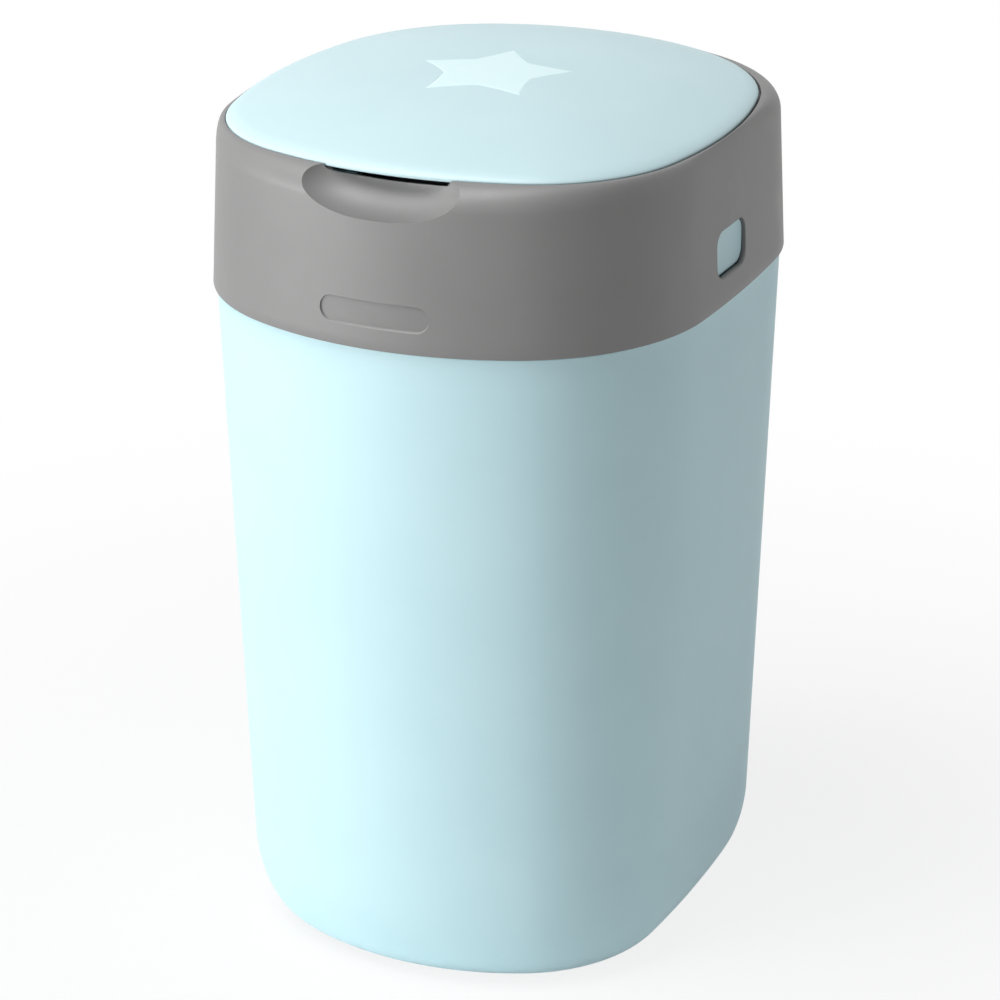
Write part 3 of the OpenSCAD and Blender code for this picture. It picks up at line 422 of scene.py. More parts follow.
def tub_wall(shares, by):
    """Rings of the straight wall at these shares of its draft."""
    return [level(tub_outline(s, by), SEAM_Z - s * (SEAM_Z - CREASE_Z)) for s in shares]


under = RIM_Z - RIM_T
under_share = (SEAM_Z - under) / (SEAM_Z - CREASE_Z)
tub_rings = bowl(BASE_Z, BASE_TUCK, 0) + tub_wall(np.linspace(1, 0.004, 22)[1:], 0)
for share, edge in (
    (0, rounded(0, RIM_Z - SEAM_ROUND, SEAM_ROUND, RIM_Z, 3)),
    (0, rounded(RIM_W, RIM_Z - RIM_ROUND, RIM_W - RIM_ROUND, RIM_Z, 3)[::-1]),
    (0, rounded(RIM_W, under + RIM_ROUND, RIM_W - RIM_ROUND, under, 3)),
    (under_share,
     rounded(TUB_WALL, under - UNDER_ROUND, TUB_WALL + UNDER_ROUND, under, 3)[::-1]),
):
    tub_rings += [level(tub_outline(share, i), z) for i, z in edge]
tub_rings += tub_wall(np.linspace(0.03, 1, 14)[:-1], TUB_WALL)
tub_rings += bowl(BASE_Z + TUB_WALL, BASE_TUCK - TUB_WALL, TUB_WALL)[::-1]
tub_skin = mesh_object("tub_skin", *skin(tub_rings), aqua_tub, sharp=40)
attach(tub_skin, "tub")
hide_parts("tub_shell")
print("tub", len(tub_skin.data.polygons), "faces")

# %% [markdown]
# ## The collar
# The collar's wall leans in slightly, rolls over a shoulder and ends in a narrow land round
# the lid. Four things are cut into it: the scoop that lets fingers under the lid, a window
# at each side for a button, a shallow bar at the front, and the openings for the hinges.
# Cutting them with solids keeps each edge where the working parts expect it.

# %% Collar blank
LID_Z, SHOULDER_H, COLLAR_DRAFT, COLLAR_WALL = 449.0, 13.0, 3.2, 2.5
SHOULDER_Z, SHOULDER_FULLNESS = LID_Z - SHOULDER_H, 1.7
LID_REST_Z, GROOVE_D, LEDGE_T = 447.5, 1.7, 2.2
GROOVE_Z = LID_REST_Z - GROOVE_D
FRONT_Y, REAR_Y, FRONT_R = WIDEST_Y - COLLAR[1], WIDEST_Y + COLLAR[2], COLLAR[4]
SCOOP_HALF_W, SCOOP_H, SCOOP_DEPTH, SCOOP_FULLNESS, SCOOP_SLIT = 47.0, 20.0, 24.0, 2.5, 5.0
PANEL_Z, FLOOR_Z, RIB_T = 433.2, 366.2, 2.0


def lean(z):
    """How far the collar's wall has leaned in at a height."""
    return COLLAR_DRAFT * np.minimum(1.0, (z - SEAM_Z) / (SHOULDER_Z - SEAM_Z))


def collar_level(inset, z):
    """The collar's outline, drawn in by an inset, at a height."""
    return level(outline(COLLAR - inset), z)


def behind_scoop(flat, z, wall):
    """Moves the points in front of the scoop's back wall to a wall's thickness behind it."""
    ring = level(flat, z)
    middle = np.maximum(0, 1 - (flat[:, 0] / SCOOP_HALF_W) ** 2)
    z = np.minimum(z, LID_REST_Z - SCOOP_SLIT * middle)
    q = 1 - np.abs(flat[:, 0] / SCOOP_HALF_W) ** SCOOP_FULLNESS - ((LID_Z - z) / SCOOP_H) ** 2
    back = FRONT_Y + lean(z) + SCOOP_DEPTH * np.sqrt(np.maximum(q, 0)) + wall
    hit = (flat[:, 1] < 0) & (q > 0) & (flat[:, 1] < back)
    ring[hit, 1], ring[hit, 2] = back[hit], z[hit]
    return ring


collar_top, land, pocket, ledge = COLLAR - COLLAR_DRAFT, LID + 1.3, LID + 0.9, LID - 2.5
between, ledge_z = (ledge + collar_top - COLLAR_WALL) / 2, LID_REST_Z - LEDGE_T
foot = rounded(0, SEAM_Z + SEAM_ROUND, SEAM_ROUND, SEAM_Z, 3)[::-1]
collar_rings = [collar_level(i, z) for i, z in foot]
collar_rings += [collar_level(lean(z), z) for z in np.linspace(SEAM_Z + 6, SHOULDER_Z, 14)]
for t in np.linspace(0, math.pi / 2, 15)[1:]:
    way, rise = (v ** (2 / SHOULDER_FULLNESS) for v in (math.cos(t), math.sin(t)))
    flat = outline(collar_top * way + land * (1 - way))
    collar_rings.append(level(flat, SHOULDER_Z + SHOULDER_H * rise))
collar_rings += [behind_scoop(outline(flat), z, wall) for flat, z, wall in (
    (pocket, LID_Z, 0.8),
    (pocket, GROOVE_Z, 1.2),
    (LID - 0.8, GROOVE_Z, 1.4),
    (LID - 1.1, LID_REST_Z, 1.7),
    (ledge, LID_REST_Z, 2),
    (ledge, ledge_z, 2.4),
    (between, (ledge_z + SHOULDER_Z) / 2, 2.2),
)]
for z, more, wall in (
    (SHOULDER_Z, 0, 2.2),
    (PANEL_Z, 0, 2.2), (PANEL_Z, 4, 3), (PANEL_Z - RIB_T, 4, 3), (PANEL_Z - RIB_T, 0, 2.2),
    (FLOOR_Z + RIB_T, 0, 0), (FLOOR_Z + RIB_T, 3, 0), (FLOOR_Z, 3, 0), (FLOOR_Z, 0, 0),
    (SEAM_Z, 0, 0),
):
    collar_rings.append(behind_scoop(outline(COLLAR - lean(z) - COLLAR_WALL - more), z, wall))
collar_skin = mesh_object("collar_skin", *skin(collar_rings, closed=True), warm_grey)
print("collar blank", len(collar_skin.data.polygons), "faces")

# %% Cutters for the collar
WINDOW_W, WINDOW_H, WINDOW_R = 39.0, 25.0, 8.0
WINDOW_Y, WINDOW_Z = WIDEST_Y, SEAM_Z + 27.2
SKIN_X = COLLAR[0] - lean(WINDOW_Z)
RECESS_W, RECESS_H, RECESS_Z, RECESS_DEPTH = 60.0, 13.5, SEAM_Z + 18.4, 0.9
HEAD_AXIS, LID_AXIS = (146.0, 375.0), (144.0, 443.5)
BARREL_W, BRACKET_W, LID_BARREL_W, OVERCUT, ROUND_STEPS = 76.0, 116.0, 72.0, 1.0, 12


def round_rect(w, h, r, along=1):
    """Loop of a rounded rectangle, counterclockwise, with its long sides in this many steps."""
    r = min(r, w / 2 - 0.01, h / 2 - 0.01)
    loop = []
    for sx, sy, start in ((1, 1, 0), (-1, 1, 90), (-1, -1, 180), (1, -1, 270)):
        for t in np.radians(np.linspace(start, start + 90, ROUND_STEPS + 1)):
            loop.append((sx * (w / 2 - r) + r * math.cos(t), sy * (h / 2 - r) + r * math.sin(t)))
        if sx == sy:
            far = -sx * (w / 2 - r)
            loop += [(x, loop[-1][1]) for x in np.linspace(-far, far, along + 1)[1:-1]]
    return np.array(loop)


def upright(loop, x):
    """Points of a loop in y and z, all at one x."""
    return np.column_stack([np.full(len(loop), x), loop])


def scoop_rings(rows=40, columns=96):
    """The hollow as rings of equal depth, from in front of the skin to its deepest point."""
    turn = circle(columns)
    wide = np.sign(np.cos(turn)) * np.abs(np.cos(turn)) ** (2 / SCOOP_FULLNESS)
    rings = []
    for t in np.linspace(-0.1, math.pi / 2 - 0.02, rows):
        deep, share = (SCOOP_DEPTH * math.sin(t), math.cos(t)) if t > 0 else (100 * t, 1.0)
        z = LID_Z + SCOOP_H * share * np.sin(turn)
        x = SCOOP_HALF_W * share ** (2 / SCOOP_FULLNESS) * wide
        rings.append(np.column_stack([x, FRONT_Y + lean(z) + deep, z]))
    return rings


def block(width, low, high):
    """A box in the middle of the width, between two corners in y and z."""
    (y0, z0), (y1, z1), x = low, high, width / 2
    points = [(u, v, z) for z in (z0, z1) for u, v in ((-x, y0), (x, y0), (x, y1), (-x, y1))]
    sides = [(i, (i + 1) % 4, (i + 1) % 4 + 4, i + 4) for i in range(4)]
    return points, [(3, 2, 1, 0), (4, 5, 6, 7), *sides]


def applied(obj):
    """Leaves the plain mesh that the modifiers make."""
    graph = bpy.context.evaluated_depsgraph_get()
    result = bpy.data.meshes.new_from_object(obj.evaluated_get(graph))
    obj.modifiers.clear()
    old, obj.data = obj.data, result
    bpy.data.meshes.remove(old)
    return obj


def cut(obj, name, points, faces):
    """Takes a solid out of an object and leaves a plain mesh."""
    tool = mesh_object(name, points, faces, obj.data.materials[0])
    modifier = obj.modifiers.new(name, "BOOLEAN")
    modifier.operation, modifier.object, modifier.solver = "DIFFERENCE", tool, "EXACT"
    applied(obj)
    bpy.data.objects.remove(tool)
    return len(obj.data.polygons)


print("scoop", cut(collar_skin, "scoop_cutter", *skin(scoop_rings())))
for side in (-1, 1):
    loops = []
    for out, grow in ((-10, 0), (-0.45, 0), (-0.1, 0.12), (6, 6.2)):
        loop = round_rect(WINDOW_W + 2 * grow, WINDOW_H + 2 * grow, WINDOW_R + grow)
        loops.append(upright(loop + [WINDOW_Y, WINDOW_Z], side * (SKIN_X + out)))
    print("window", cut(collar_skin, "window_cutter", *skin(loops)))
bar = round_rect(RECESS_W, RECESS_H, RECESS_H / 2, along=24)
bar_loops = []
for depth, grow in ((RECESS_DEPTH, -0.35), (RECESS_DEPTH - 0.3, 0), (0.12, 0), (-0.3, 0.42),
                    (-4, 4.1)):
    loop = bar * (1 + 2 * grow / np.array([RECESS_W, RECESS_H]))
    r = FRONT_R - lean(RECESS_Z) - depth
    y = FRONT_Y + FRONT_R - np.sqrt(r * r - loop[:, 0] ** 2)
    bar_loops.append(np.column_stack([loop[:, 0], y, loop[:, 1] + RECESS_Z]))
print("bar", cut(collar_skin, "bar_cutter", *skin(bar_loops, ladder=True)))
for width, low, high in (
    (BARREL_W, (HEAD_AXIS[0] - 20, SEAM_Z - OVERCUT), (REAR_Y + OVERCUT, HEAD_AXIS[1] + 8)),
    (BRACKET_W, (HEAD_AXIS[0] - 20, SEAM_Z - OVERCUT), (REAR_Y + OVERCUT, SEAM_Z + 1.6)),
    (LID_BARREL_W, (LID_AXIS[0] - 12, LID_AXIS[1] - 7),
     (REAR_Y - COLLAR_DRAFT - 1.8, LID_Z + OVERCUT)),
):
    print("hinge opening", cut(collar_skin, "hinge_cutter", *block(width, low, high)))
smooth(collar_skin.data, 30)
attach(collar_skin, "head")
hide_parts("collar_shell")

# %% [markdown]
# ## The lid and its star
# The lid is a shallow dome that falls away slowly in the middle and quickly at the edge.
# Scaling its outline towards its middle gives rings that follow the dome, without the flat
# spots of a subdivided plane. The star is a second shot of paler plastic, flush with the
# skin, so it has a bed cut for it and the same dome on top.

# %% Lid
LID_SHIFT = np.array([-0.5, 0])
LID_MIDDLE = LID_SHIFT + [0, WIDEST_Y + (LID[2] - LID[1]) / 2]
LID_CROWN, CROWN_POWER, LID_WALL, LID_EDGE_H = 18.7, 2.44, 2.4, 1.2
EDGE_ROUND_H, EDGE_ROUND_W = 2.2, 0.055
STAR_R, STAR_NOTCH, STAR_HOLLOW, STAR_T, STAR_GAP = 42.5, 0.58, 0.03, 0.8, 0.08
STAR_MIDDLE, STAR_TURN, STAR_STEPS = LID_MIDDLE - [0, 11.2], 98.0, 12


def dome(share):
    """Height of the lid at a share of the way from its middle to its edge."""
    out = np.maximum(0, 1 - (1 - share) / EDGE_ROUND_W)
    crown = (LID_CROWN - EDGE_ROUND_H) * (1 - share ** CROWN_POWER)
    return LID_Z + EDGE_ROUND_H * np.sqrt(1 - out * out) + crown


def lid_outline(inset):
    return outline(LID - inset) + LID_SHIFT


lid_loop = lid_outline(0)
spokes = lid_loop - LID_MIDDLE
edges = np.roll(lid_loop, -1, 0) - lid_loop
normals = np.column_stack([edges[:, 1], -edges[:, 0]])
lid_edges = normals / np.sum(normals * spokes, 1)[:, None]


def dome_ring(share, down=0.0):
    return level(LID_MIDDLE + spokes * share, dome(share) - down)


def on_dome(flat, down):
    """Lifts points of the plan to a depth under the dome."""
    share = np.clip(((flat - LID_MIDDLE) @ lid_edges.T).max(1), 0, 1)
    return np.column_stack([flat, dome(share) - down])


def star_loop(radius):
    """Five tips and five notches, joined by lines that are a little hollow."""
    corners = []
    for i in range(11):
        turn, r = math.radians(STAR_TURN + 36 * i), radius * (STAR_NOTCH if i % 2 else 1)
        corners.append(r * np.array([math.cos(turn), math.sin(turn)]))
    return np.array([(p * (1 - t) + q * t) * (1 - STAR_HOLLOW * math.sin(math.pi * t))
                     for p, q in zip(corners, corners[1:])
                     for t in np.linspace(0, 1, STAR_STEPS, endpoint=False)])


def star_solid(radius, top, bottom, ease=0.0):
    """Star between two depths under the dome, with a small round on its upper edge."""
    loop = star_loop(radius)
    shares = np.linspace(0.06, 1, 16)
    rings = [on_dome(STAR_MIDDLE + loop * s, bottom) for s in shares]
    lip = [(1, 0)]
    if ease:
        lip = [(1.0, ease), (1 - ease * 0.3 / radius, ease * 0.3), (1 - ease / radius, 0)]
    rings += [on_dome(STAR_MIDDLE + loop * s, top + d) for s, d in lip]
    rings += [on_dome(STAR_MIDDLE + loop * s, top) for s in shares[-2::-1]]
    return rings


shares = np.sin(np.linspace(0.035, 1.32, 40))
edge_shares = 1 - EDGE_ROUND_W * (1 - np.cos(np.linspace(math.pi / 2, 0.12, 10)))
foot = LID_Z - LID_EDGE_H
lid_rings = [dome_ring(s, LID_WALL) for s in shares[shares < 0.95]]
lid_rings += [level(lid_outline(i), z) for i, z in (
    (3, foot + 0.3), (2.7, foot), *rounded(0, foot + 0.4, 0.4, foot, 3)[::-1])]
lid_rings += [level(lid_loop, LID_Z)] + [dome_ring(s) for s in edge_shares[::-1]]
lid_rings += [dome_ring(s) for s in shares[::-1] if s < edge_shares[0] - 0.004]
lid_skin = mesh_object("lid_skin", *skin(lid_rings), aqua_lid)
bed = skin(star_solid(STAR_R + STAR_GAP, -2, STAR_T))
print("star bed", cut(lid_skin, "star_cutter", *bed))
smooth(lid_skin.data, 40)
inlay = skin(star_solid(STAR_R, 0.02, STAR_T - 0.05, ease=0.12))
star = mesh_object("star", *inlay, pale_star, sharp=50)
for piece, node, slot in ((lid_skin, "lid_shell", "aqua_plastic"),
                          (star, "star_inlay", "pale_aqua")):
    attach(piece, "lid")
    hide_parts(node)
print("lid", len(lid_skin.data.polygons), "star", len(star.data.polygons))

# %% [markdown]
# ## Release buttons
# Each button is a rounded key that shows in the collar's window, with a flange behind the
# wall that keeps it in and a plunger that presses the latch. A bevelled box would do for the
# face, but one stack of loops makes the key, flange and plunger one skin.

# %% Buttons
BUTTON_GAP, KEY_SET_BACK, PLUNGER_R, FLANGE_GAP, FLANGE_T, FLANGE_W = 0.6, 0.5, 7.0, 1.3, 2.4, 2.0
DISH = ((3.0, 0.12), (5.5, 0.3), (8.0, 0.45), (11.0, 0.55))


def box_mm(name):
    """Lowest and highest corner of a solid, in mm."""
    return (np.array(corner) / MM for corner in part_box(name))


def button(side, name):
    """Plunger, flange and dished key, drawn for the right side and mirrored for the left."""
    low, high = box_mm(name)
    inner, face = (low[0], high[0]) if side > 0 else (-high[0], -low[0])
    face -= KEY_SET_BACK
    w, h, r = WINDOW_W - 2 * BUTTON_GAP, WINDOW_H - 2 * BUTTON_GAP, WINDOW_R - BUTTON_GAP
    flange = SKIN_X - COLLAR_WALL - FLANGE_GAP

    def key(x, grow):
        return upright(round_rect(w + 2 * grow, h + 2 * grow, max(r + grow, 0.5)), x)

    turns = circle(len(key(0, 0)))
    round_loop = PLUNGER_R * np.column_stack([np.cos(turns), np.sin(turns)])
    rings = [upright(round_loop * share, x) for x, share in (
        (inner, 0.9), (inner + 0.7, 1.0), (flange - FLANGE_T, 1.0))]
    rings += [key(flange - FLANGE_T, FLANGE_W), key(flange - 0.3, FLANGE_W),
              key(flange, FLANGE_W - 0.3), key(flange, 0)]
    rings += [key(x, -i) for i, x in rounded(0, face - 1.0, 1.0, face, 5)]
    rings += [key(face - deep, -i) for i, deep in DISH]
    points, faces = skin([ring + [0, WINDOW_Y, WINDOW_Z] for ring in rings])
    points = np.array(points) * [side, 1, 1]
    piece = mesh_object(name + "_key", points, faces, aqua_button)
    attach(piece, name)
    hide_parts(name)
    print(name, len(piece.data.polygons), "faces")


button(1, "button_right")
button(-1, "button_left")

# %% [markdown]
# ## Metal, rubber and film
# Inside are steel pins, zinc plated screws, wire springs, rubber seals and thin film. Each
# needs its own kind of unevenness: steel has lines along the way it was drawn, zinc is
# cloudy, rubber is dusty and dull, and film is creased. All of it is noise, stretched and
# weighted in different ways.

# %% Finishes for the working parts
DRAWN_LINE, METAL_CLOUD, CREASE, CRINKLE, CREASE_DEPTH = 0.003, 0.006, 0.007, 0.0015, 0.0007


def metal(name, colour, roughness, grain, depth):
    """Metal whose grain is fine along an axis where its number is high."""
    paint = Paint(name)
    drawn = paint.noise(DRAWN_LINE, 3.0, grain)
    cloud = paint.noise(METAL_CLOUD, 3.0).step(0.35, 0.65)
    tint = paint.mix(cloud, colour, tuple(v * 0.9 for v in colour))
    rough = drawn * 0.16 + cloud * 0.05 + roughness
    return paint.finish(
        base_color=tint, roughness=rough, metallic=1.0, normal=paint.bump(drawn, depth))


def creased(name):
    """Film with long creases from top to bottom and a fine crinkle in its gloss."""
    paint = Paint(name)
    creases = paint.noise(CREASE, 4.0, (1.0, 1.0, 0.4))
    crinkle = paint.noise(CRINKLE, 2.0)
    tint = paint.mix(creases.step(0.35, 0.65), (0.66, 0.83, 0.86), (0.56, 0.76, 0.80))
    return paint.finish(base_color=tint, roughness=crinkle * 0.15 + 0.26,
                        normal=paint.bump(creases, CREASE_DEPTH), ior=1.5)


pin_steel = metal("pin_steel", (0.56, 0.565, 0.575), 0.20, (1, 9, 9), 0.00001)
zinc_plate = metal("zinc_plate", (0.60, 0.605, 0.60), 0.30, (3, 3, 3), 0.00001)
spring_wire = metal("spring_wire", (0.47, 0.475, 0.49), 0.24, (6, 6, 6), 0.000006)
soft_rubber = moulded("soft_rubber", (0.024, 0.025, 0.028), (0.034, 0.035, 0.038), 0.70,
                      grain=0.0009, depth=0.00006)
film = creased("film")
print("finishes for the working parts ready")

# %% [markdown]
# ## Working parts with eased edges
# The plates, rings and pins are true in the solid model, but its mesh is loose triangles,
# with razor sharp edges and faceted rounds. A copy is merged into one skin, its flat areas
# are joined again, and its sharp edges get a small round that catches the light.

# %% Eased copies
FLAT, SHARP, CURVED = 0.4, 40.0, 14.0


def eased(name, material, width):
    """A merged copy of a solid that stands for it, with edges rounded by width in mm."""
    shape = merged(cad_nodes[name].data)
    bmesh.ops.dissolve_limit(
        shape, angle_limit=math.radians(FLAT), verts=shape.verts, edges=shape.edges)
    if width:
        edges = [e for e in shape.edges
                 if e.is_manifold and abs(e.calc_face_angle()) > math.radians(SHARP)]
        bmesh.ops.bevel(shape, geom=edges, offset=width * MM, offset_type="OFFSET", segments=2,
                        profile=0.5, affect="EDGES", clamp_overlap=True)
    mesh = bpy.data.meshes.new(name + "_piece")
    shape.to_mesh(mesh)
    shape.free()
    mesh.materials.append(material)
    smooth(mesh, CURVED)
    piece = placed(name + "_piece", mesh)
    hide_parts(name)
    return piece


def body_of(name):
    """The moving body that a solid belongs to."""
    return cad_nodes[name].parent.name.split(":")[1]


for slot, material, widths in (
    ("dark_plastic", dark_grey, {"inner_panel": 0.3, "cutter_rail": 0.25}),
    ("aqua_plastic", aqua_button, {"grip_ring": 0.5, "cutter_slide": 0.3}),
    ("white_plastic", off_white, {"cassette_cap": 0.3, "lid_liner": 0.3, "twist_ring": 0.0}),
    ("soft_rubber", soft_rubber, {"foot_pads": 0.25, "rim_seal": 0.3, "lid_seal": 0.5}),
    ("steel", pin_steel, {"head_hinge_pin": 0.4, "lid_hinge_pin": 0.4}),
    ("steel", zinc_plate, {"hinge_bracket": 0.3, "latch_keepers": 0.3}),
):
    for name, width in widths.items():
        made = eased(name, material, width)
        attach(made, body_of(name))
        print(made.name, len(made.data.polygons), "faces")

# %% [markdown]
# ## Latch arms
# A latch arm is a springy strip. It is screwed fast at its top, and the button's plunger
# bends it inward, so that its hook lets go of the keeper. A rigid copy would be run through
# by the plunger. Each arm is an eased copy, cut into slices along its length over the bend.

# %% Latch arms
BEND_TOP, BEND_END, BEND_SLICES = 424.0, 397.0, 12
for side in ("left", "right"):
    name = "latch_" + side
    latch = eased(name, off_white, 0.3)
    slices = bmesh.new()
    slices.from_mesh(latch.data)
    for z in np.linspace(BEND_TOP, BEND_END, BEND_SLICES):
        bmesh.ops.bisect_plane(slices, geom=[*slices.verts, *slices.edges, *slices.faces],
                               plane_co=(0, 0, z * MM), plane_no=(0, 0, 1))
    slices.to_mesh(latch.data)
    slices.free()
    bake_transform(latch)
    print(latch.name, len(latch.data.polygons), "faces")

# %% [markdown]
# ## Solids that only need a finish
# Six solids are so deep inside, or so plain, that their own mesh is enough. They only get a
# finish, which goes on the object's slot, so the mesh isn't touched.

# %% Finishes on bare solids
for name, material in (
    ("head_base", dark_grey), ("bearing_ring", off_white), ("cassette_tray", off_white),
    ("pawl", off_white), ("pawl_pin", pin_steel), ("cutter_blade", pin_steel),
):
    for place in cad_nodes[name].material_slots:
        place.material = material
    print(name, "finished with", material.name)

# %% [markdown]
# ## Trees for what repeats
# The same screw sits in 23 places and the same coil in three. Each is drawn once in a
# Geometry Nodes tree with named inputs. This small class adds and links the nodes, and
# freezes the result as a plain mesh.

# %% A builder for node trees
class Growth:
    """A Geometry Nodes tree with named inputs."""

    def __init__(self, name, **inputs):
        self.tree = bpy.data.node_groups.new(name, "GeometryNodeTree")
        ports = self.tree.interface
        for way in ("INPUT", "OUTPUT"):
            ports.new_socket("Geometry", in_out=way, socket_type="NodeSocketGeometry")
        self.keys = {
            label: ports.new_socket(
                label, in_out="INPUT", socket_type="NodeSocket" + kind).identifier
            for label, kind in inputs.items()
        }
        self.start = self.tree.nodes.new("NodeGroupInput")
        self.end = self.tree.nodes.new("NodeGroupOutput")

    def __getitem__(self, label):
        return self.start.outputs[label]

    def add(self, kind, inputs, out=0, **settings):
        """Adds a node: its settings first, then its inputs. A list goes into one socket."""
        node = self.tree.nodes.new(kind)
        for key, value in settings.items():
            setattr(node, key, value)
        for key, value in inputs.items():
            for one in value if isinstance(value, list) else [value]:
                if isinstance(one, bpy.types.NodeSocket):
                    self.tree.links.new(one, node.inputs[key])
                else:
                    node.inputs[key].default_value = one
        return node.outputs[out]

    def times(self, a, b):
        return self.add("ShaderNodeMath", {0: a, 1: b}, operation="MULTIPLY")

    def join(self, *pieces):
        return self.add("GeometryNodeJoinGeometry", {0: list(pieces)})

    def vector(self, **axes):
        return self.add("ShaderNodeCombineXYZ", {k.upper(): v for k, v in axes.items()})

    def place(self, geometry, **how):
        return self.add("GeometryNodeTransform", {"Geometry": geometry} | how)

    def finish(self, geometry):
        """Makes the instances real and gives them their material."""
        real = self.add("GeometryNodeRealizeInstances", {0: geometry})
        painted = self.add(
            "GeometryNodeSetMaterial", {0: real, "Material": self["Material"]})
        self.tree.links.new(painted, self.end.inputs[0])

    def grow(self, name, mesh, **values):
        """Runs the tree on a mesh and keeps the result as a plain object."""
        obj = placed(name, mesh)
        modifier = obj.modifiers.new("grow", "NODES")
        modifier.node_group = self.tree
        for label, value in values.items():
            modifier[self.keys[label]] = value
        return applied(obj)


print("tree builder ready")

# %% [markdown]
# ## Screws
# The screws are pan heads with a cross recess. Two small blocks cut the cross, and a spiral
# wound round the shank makes the thread. The solid model says where each one is: every
# island of its mesh is one screw, and its wide end is the head.

# %% Screw tree
BARREL, CROWN, CROWN_TOP = 0.6, 0.4, 0.78
CROSS_LONG, CROSS_WIDE = 1.15, 0.26
ROOT_R, THREAD_R, RIDGE_R, THREAD_TURNS, THREAD_LONG = 0.86, 0.88, 0.11, 9.0, 0.96
screw = Growth("screw", Head="Float", Height="Float", Shank="Float", Material="Material")
head_r, head_h, shank_r = (screw[k] for k in ("Head", "Height", "Shank"))


def lowered(geometry, share, **how):
    """Moves a piece of the head down by a share of the head's height."""
    down = screw.vector(z=screw.times(head_h, -share))
    return screw.place(geometry, Translation=down, **how)


barrel = lowered(screw.add("GeometryNodeMeshCylinder", {
    "Vertices": 40, "Radius": head_r, "Depth": screw.times(head_h, BARREL)}), BARREL / 2)
crown = lowered(screw.add("GeometryNodeMeshCone", {
    "Vertices": 40, "Radius Top": screw.times(head_r, CROWN_TOP), "Radius Bottom": head_r,
    "Depth": screw.times(head_h, CROWN)}), BARREL, Rotation=(math.pi, 0, 0))
cross = screw.join(*(
    lowered(screw.add("GeometryNodeMeshCube", {"Size": screw.vector(
        x=screw.times(head_r, x), y=screw.times(head_r, y), z=head_h)}), 1.0)
    for x, y in ((CROSS_LONG, CROSS_WIDE), (CROSS_WIDE, CROSS_LONG))))
head = screw.add("GeometryNodeMeshBoolean", {0: screw.join(barrel, crown), 1: cross},
                 operation="DIFFERENCE")
shank = screw.place(screw.add("GeometryNodeMeshCylinder", {
    "Vertices": 24, "Radius": screw.times(shank_r, ROOT_R), "Depth": 1.0}),
    Translation=(0, 0, 0.5))
helix_r = screw.times(shank_r, THREAD_R)
helix = screw.add("GeometryNodeCurveSpiral", {
    "Resolution": 16, "Rotations": THREAD_TURNS, "Height": THREAD_LONG,
    "Start Radius": helix_r, "End Radius": helix_r})
ridge = screw.add("GeometryNodeCurvePrimitiveCircle", {
    "Resolution": 4, "Radius": screw.times(shank_r, RIDGE_R)})
thread = screw.add("GeometryNodeCurveToMesh", {
    "Curve": helix, "Profile Curve": ridge, "Fill Caps": True})
turn = screw.add("GeometryNodeInputNamedAttribute", {"Name": "turn"}, data_type="FLOAT_VECTOR")
long = screw.add("GeometryNodeInputNamedAttribute", {"Name": "long"})
where = {"Points": screw["Geometry"], "Rotation": turn}
heads = screw.add("GeometryNodeInstanceOnPoints", where | {"Instance": head})
bodies = screw.add("GeometryNodeInstanceOnPoints", where | {
    "Instance": screw.join(shank, thread), "Scale": screw.vector(x=1.0, y=1.0, z=long)})
screw.finish(screw.join(heads, bodies))
print("screw tree", len(screw.tree.nodes), "nodes")

# %% Screws where the solids are
SCREW_HEAD_R, SCREW_HEAD_H, SCREW_R, NEARLY = 3.4, 2.0, 1.7, 0.3


def islands(name):
    """Corner points in mm of every separate solid in a node, always in the same order."""
    shape = merged(cad_nodes[name].data)
    left, found = dict.fromkeys(shape.verts), []
    while left:
        waiting, island = [left.popitem()[0]], []
        while waiting:
            vert = waiting.pop()
            island.append(np.array(vert.co) / MM)
            for edge in vert.link_edges:
                other = edge.other_vert(vert)
                if other in left:
                    del left[other]
                    waiting.append(other)
        found.append(np.array(island))
    shape.free()
    return found


def screw_axis(points):
    """Seat of the head, axis, direction along it and length of the shank."""
    low, high = points.min(0), points.max(0)
    middle = (low + high) / 2
    for axis in range(3):
        across = [i for i in range(3) if i != axis]
        off_round = np.abs((high - low)[across] - 2 * SCREW_HEAD_R)
        far = np.hypot(*(points[:, across] - middle[across]).T) > SCREW_HEAD_R - NEARLY
        head = points[far][:, axis]
        if off_round.max() < NEARLY and len(head) and np.ptp(head) < SCREW_HEAD_H + NEARLY:
            break
    way = 1 if head.mean() < middle[axis] else -1
    seat, end = (head.max(), high[axis]) if way > 0 else (head.min(), low[axis])
    middle[axis] = seat
    return middle, axis, way, abs(end - seat)


QUARTER = math.pi / 2
TURNS = {(0, 1): (0, QUARTER, 0), (0, -1): (0, -QUARTER, 0), (1, 1): (-QUARTER, 0, 0),
         (1, -1): (QUARTER, 0, 0), (2, 1): (0, 0, 0), (2, -1): (math.pi, 0, 0)}
for name in ("bracket_screws", "keeper_screws", "post_screws", "latch_screws", "liner_screws"):
    found = [screw_axis(points) for points in islands(name)]
    mesh = bpy.data.meshes.new(name)
    mesh.from_pydata([tuple(seat * MM) for seat, *_ in found], [], [])
    mesh.attributes.new("turn", "FLOAT_VECTOR", "POINT")
    mesh.attributes.new("long", "FLOAT", "POINT")
    for i, (seat, axis, way, length) in enumerate(found):
        mesh.attributes["turn"].data[i].vector = TURNS[axis, way]
        mesh.attributes["long"].data[i].value = length * MM
    piece = screw.grow(name + "_cross", mesh, Head=SCREW_HEAD_R * MM, Height=SCREW_HEAD_H * MM,
                       Shank=SCREW_R * MM, Material=zinc_plate)
    smooth(piece.data, 30)
    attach(piece, body_of(name))
    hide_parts(name)
    print(name, len(found), "screws,", len(piece.data.polygons), "faces")
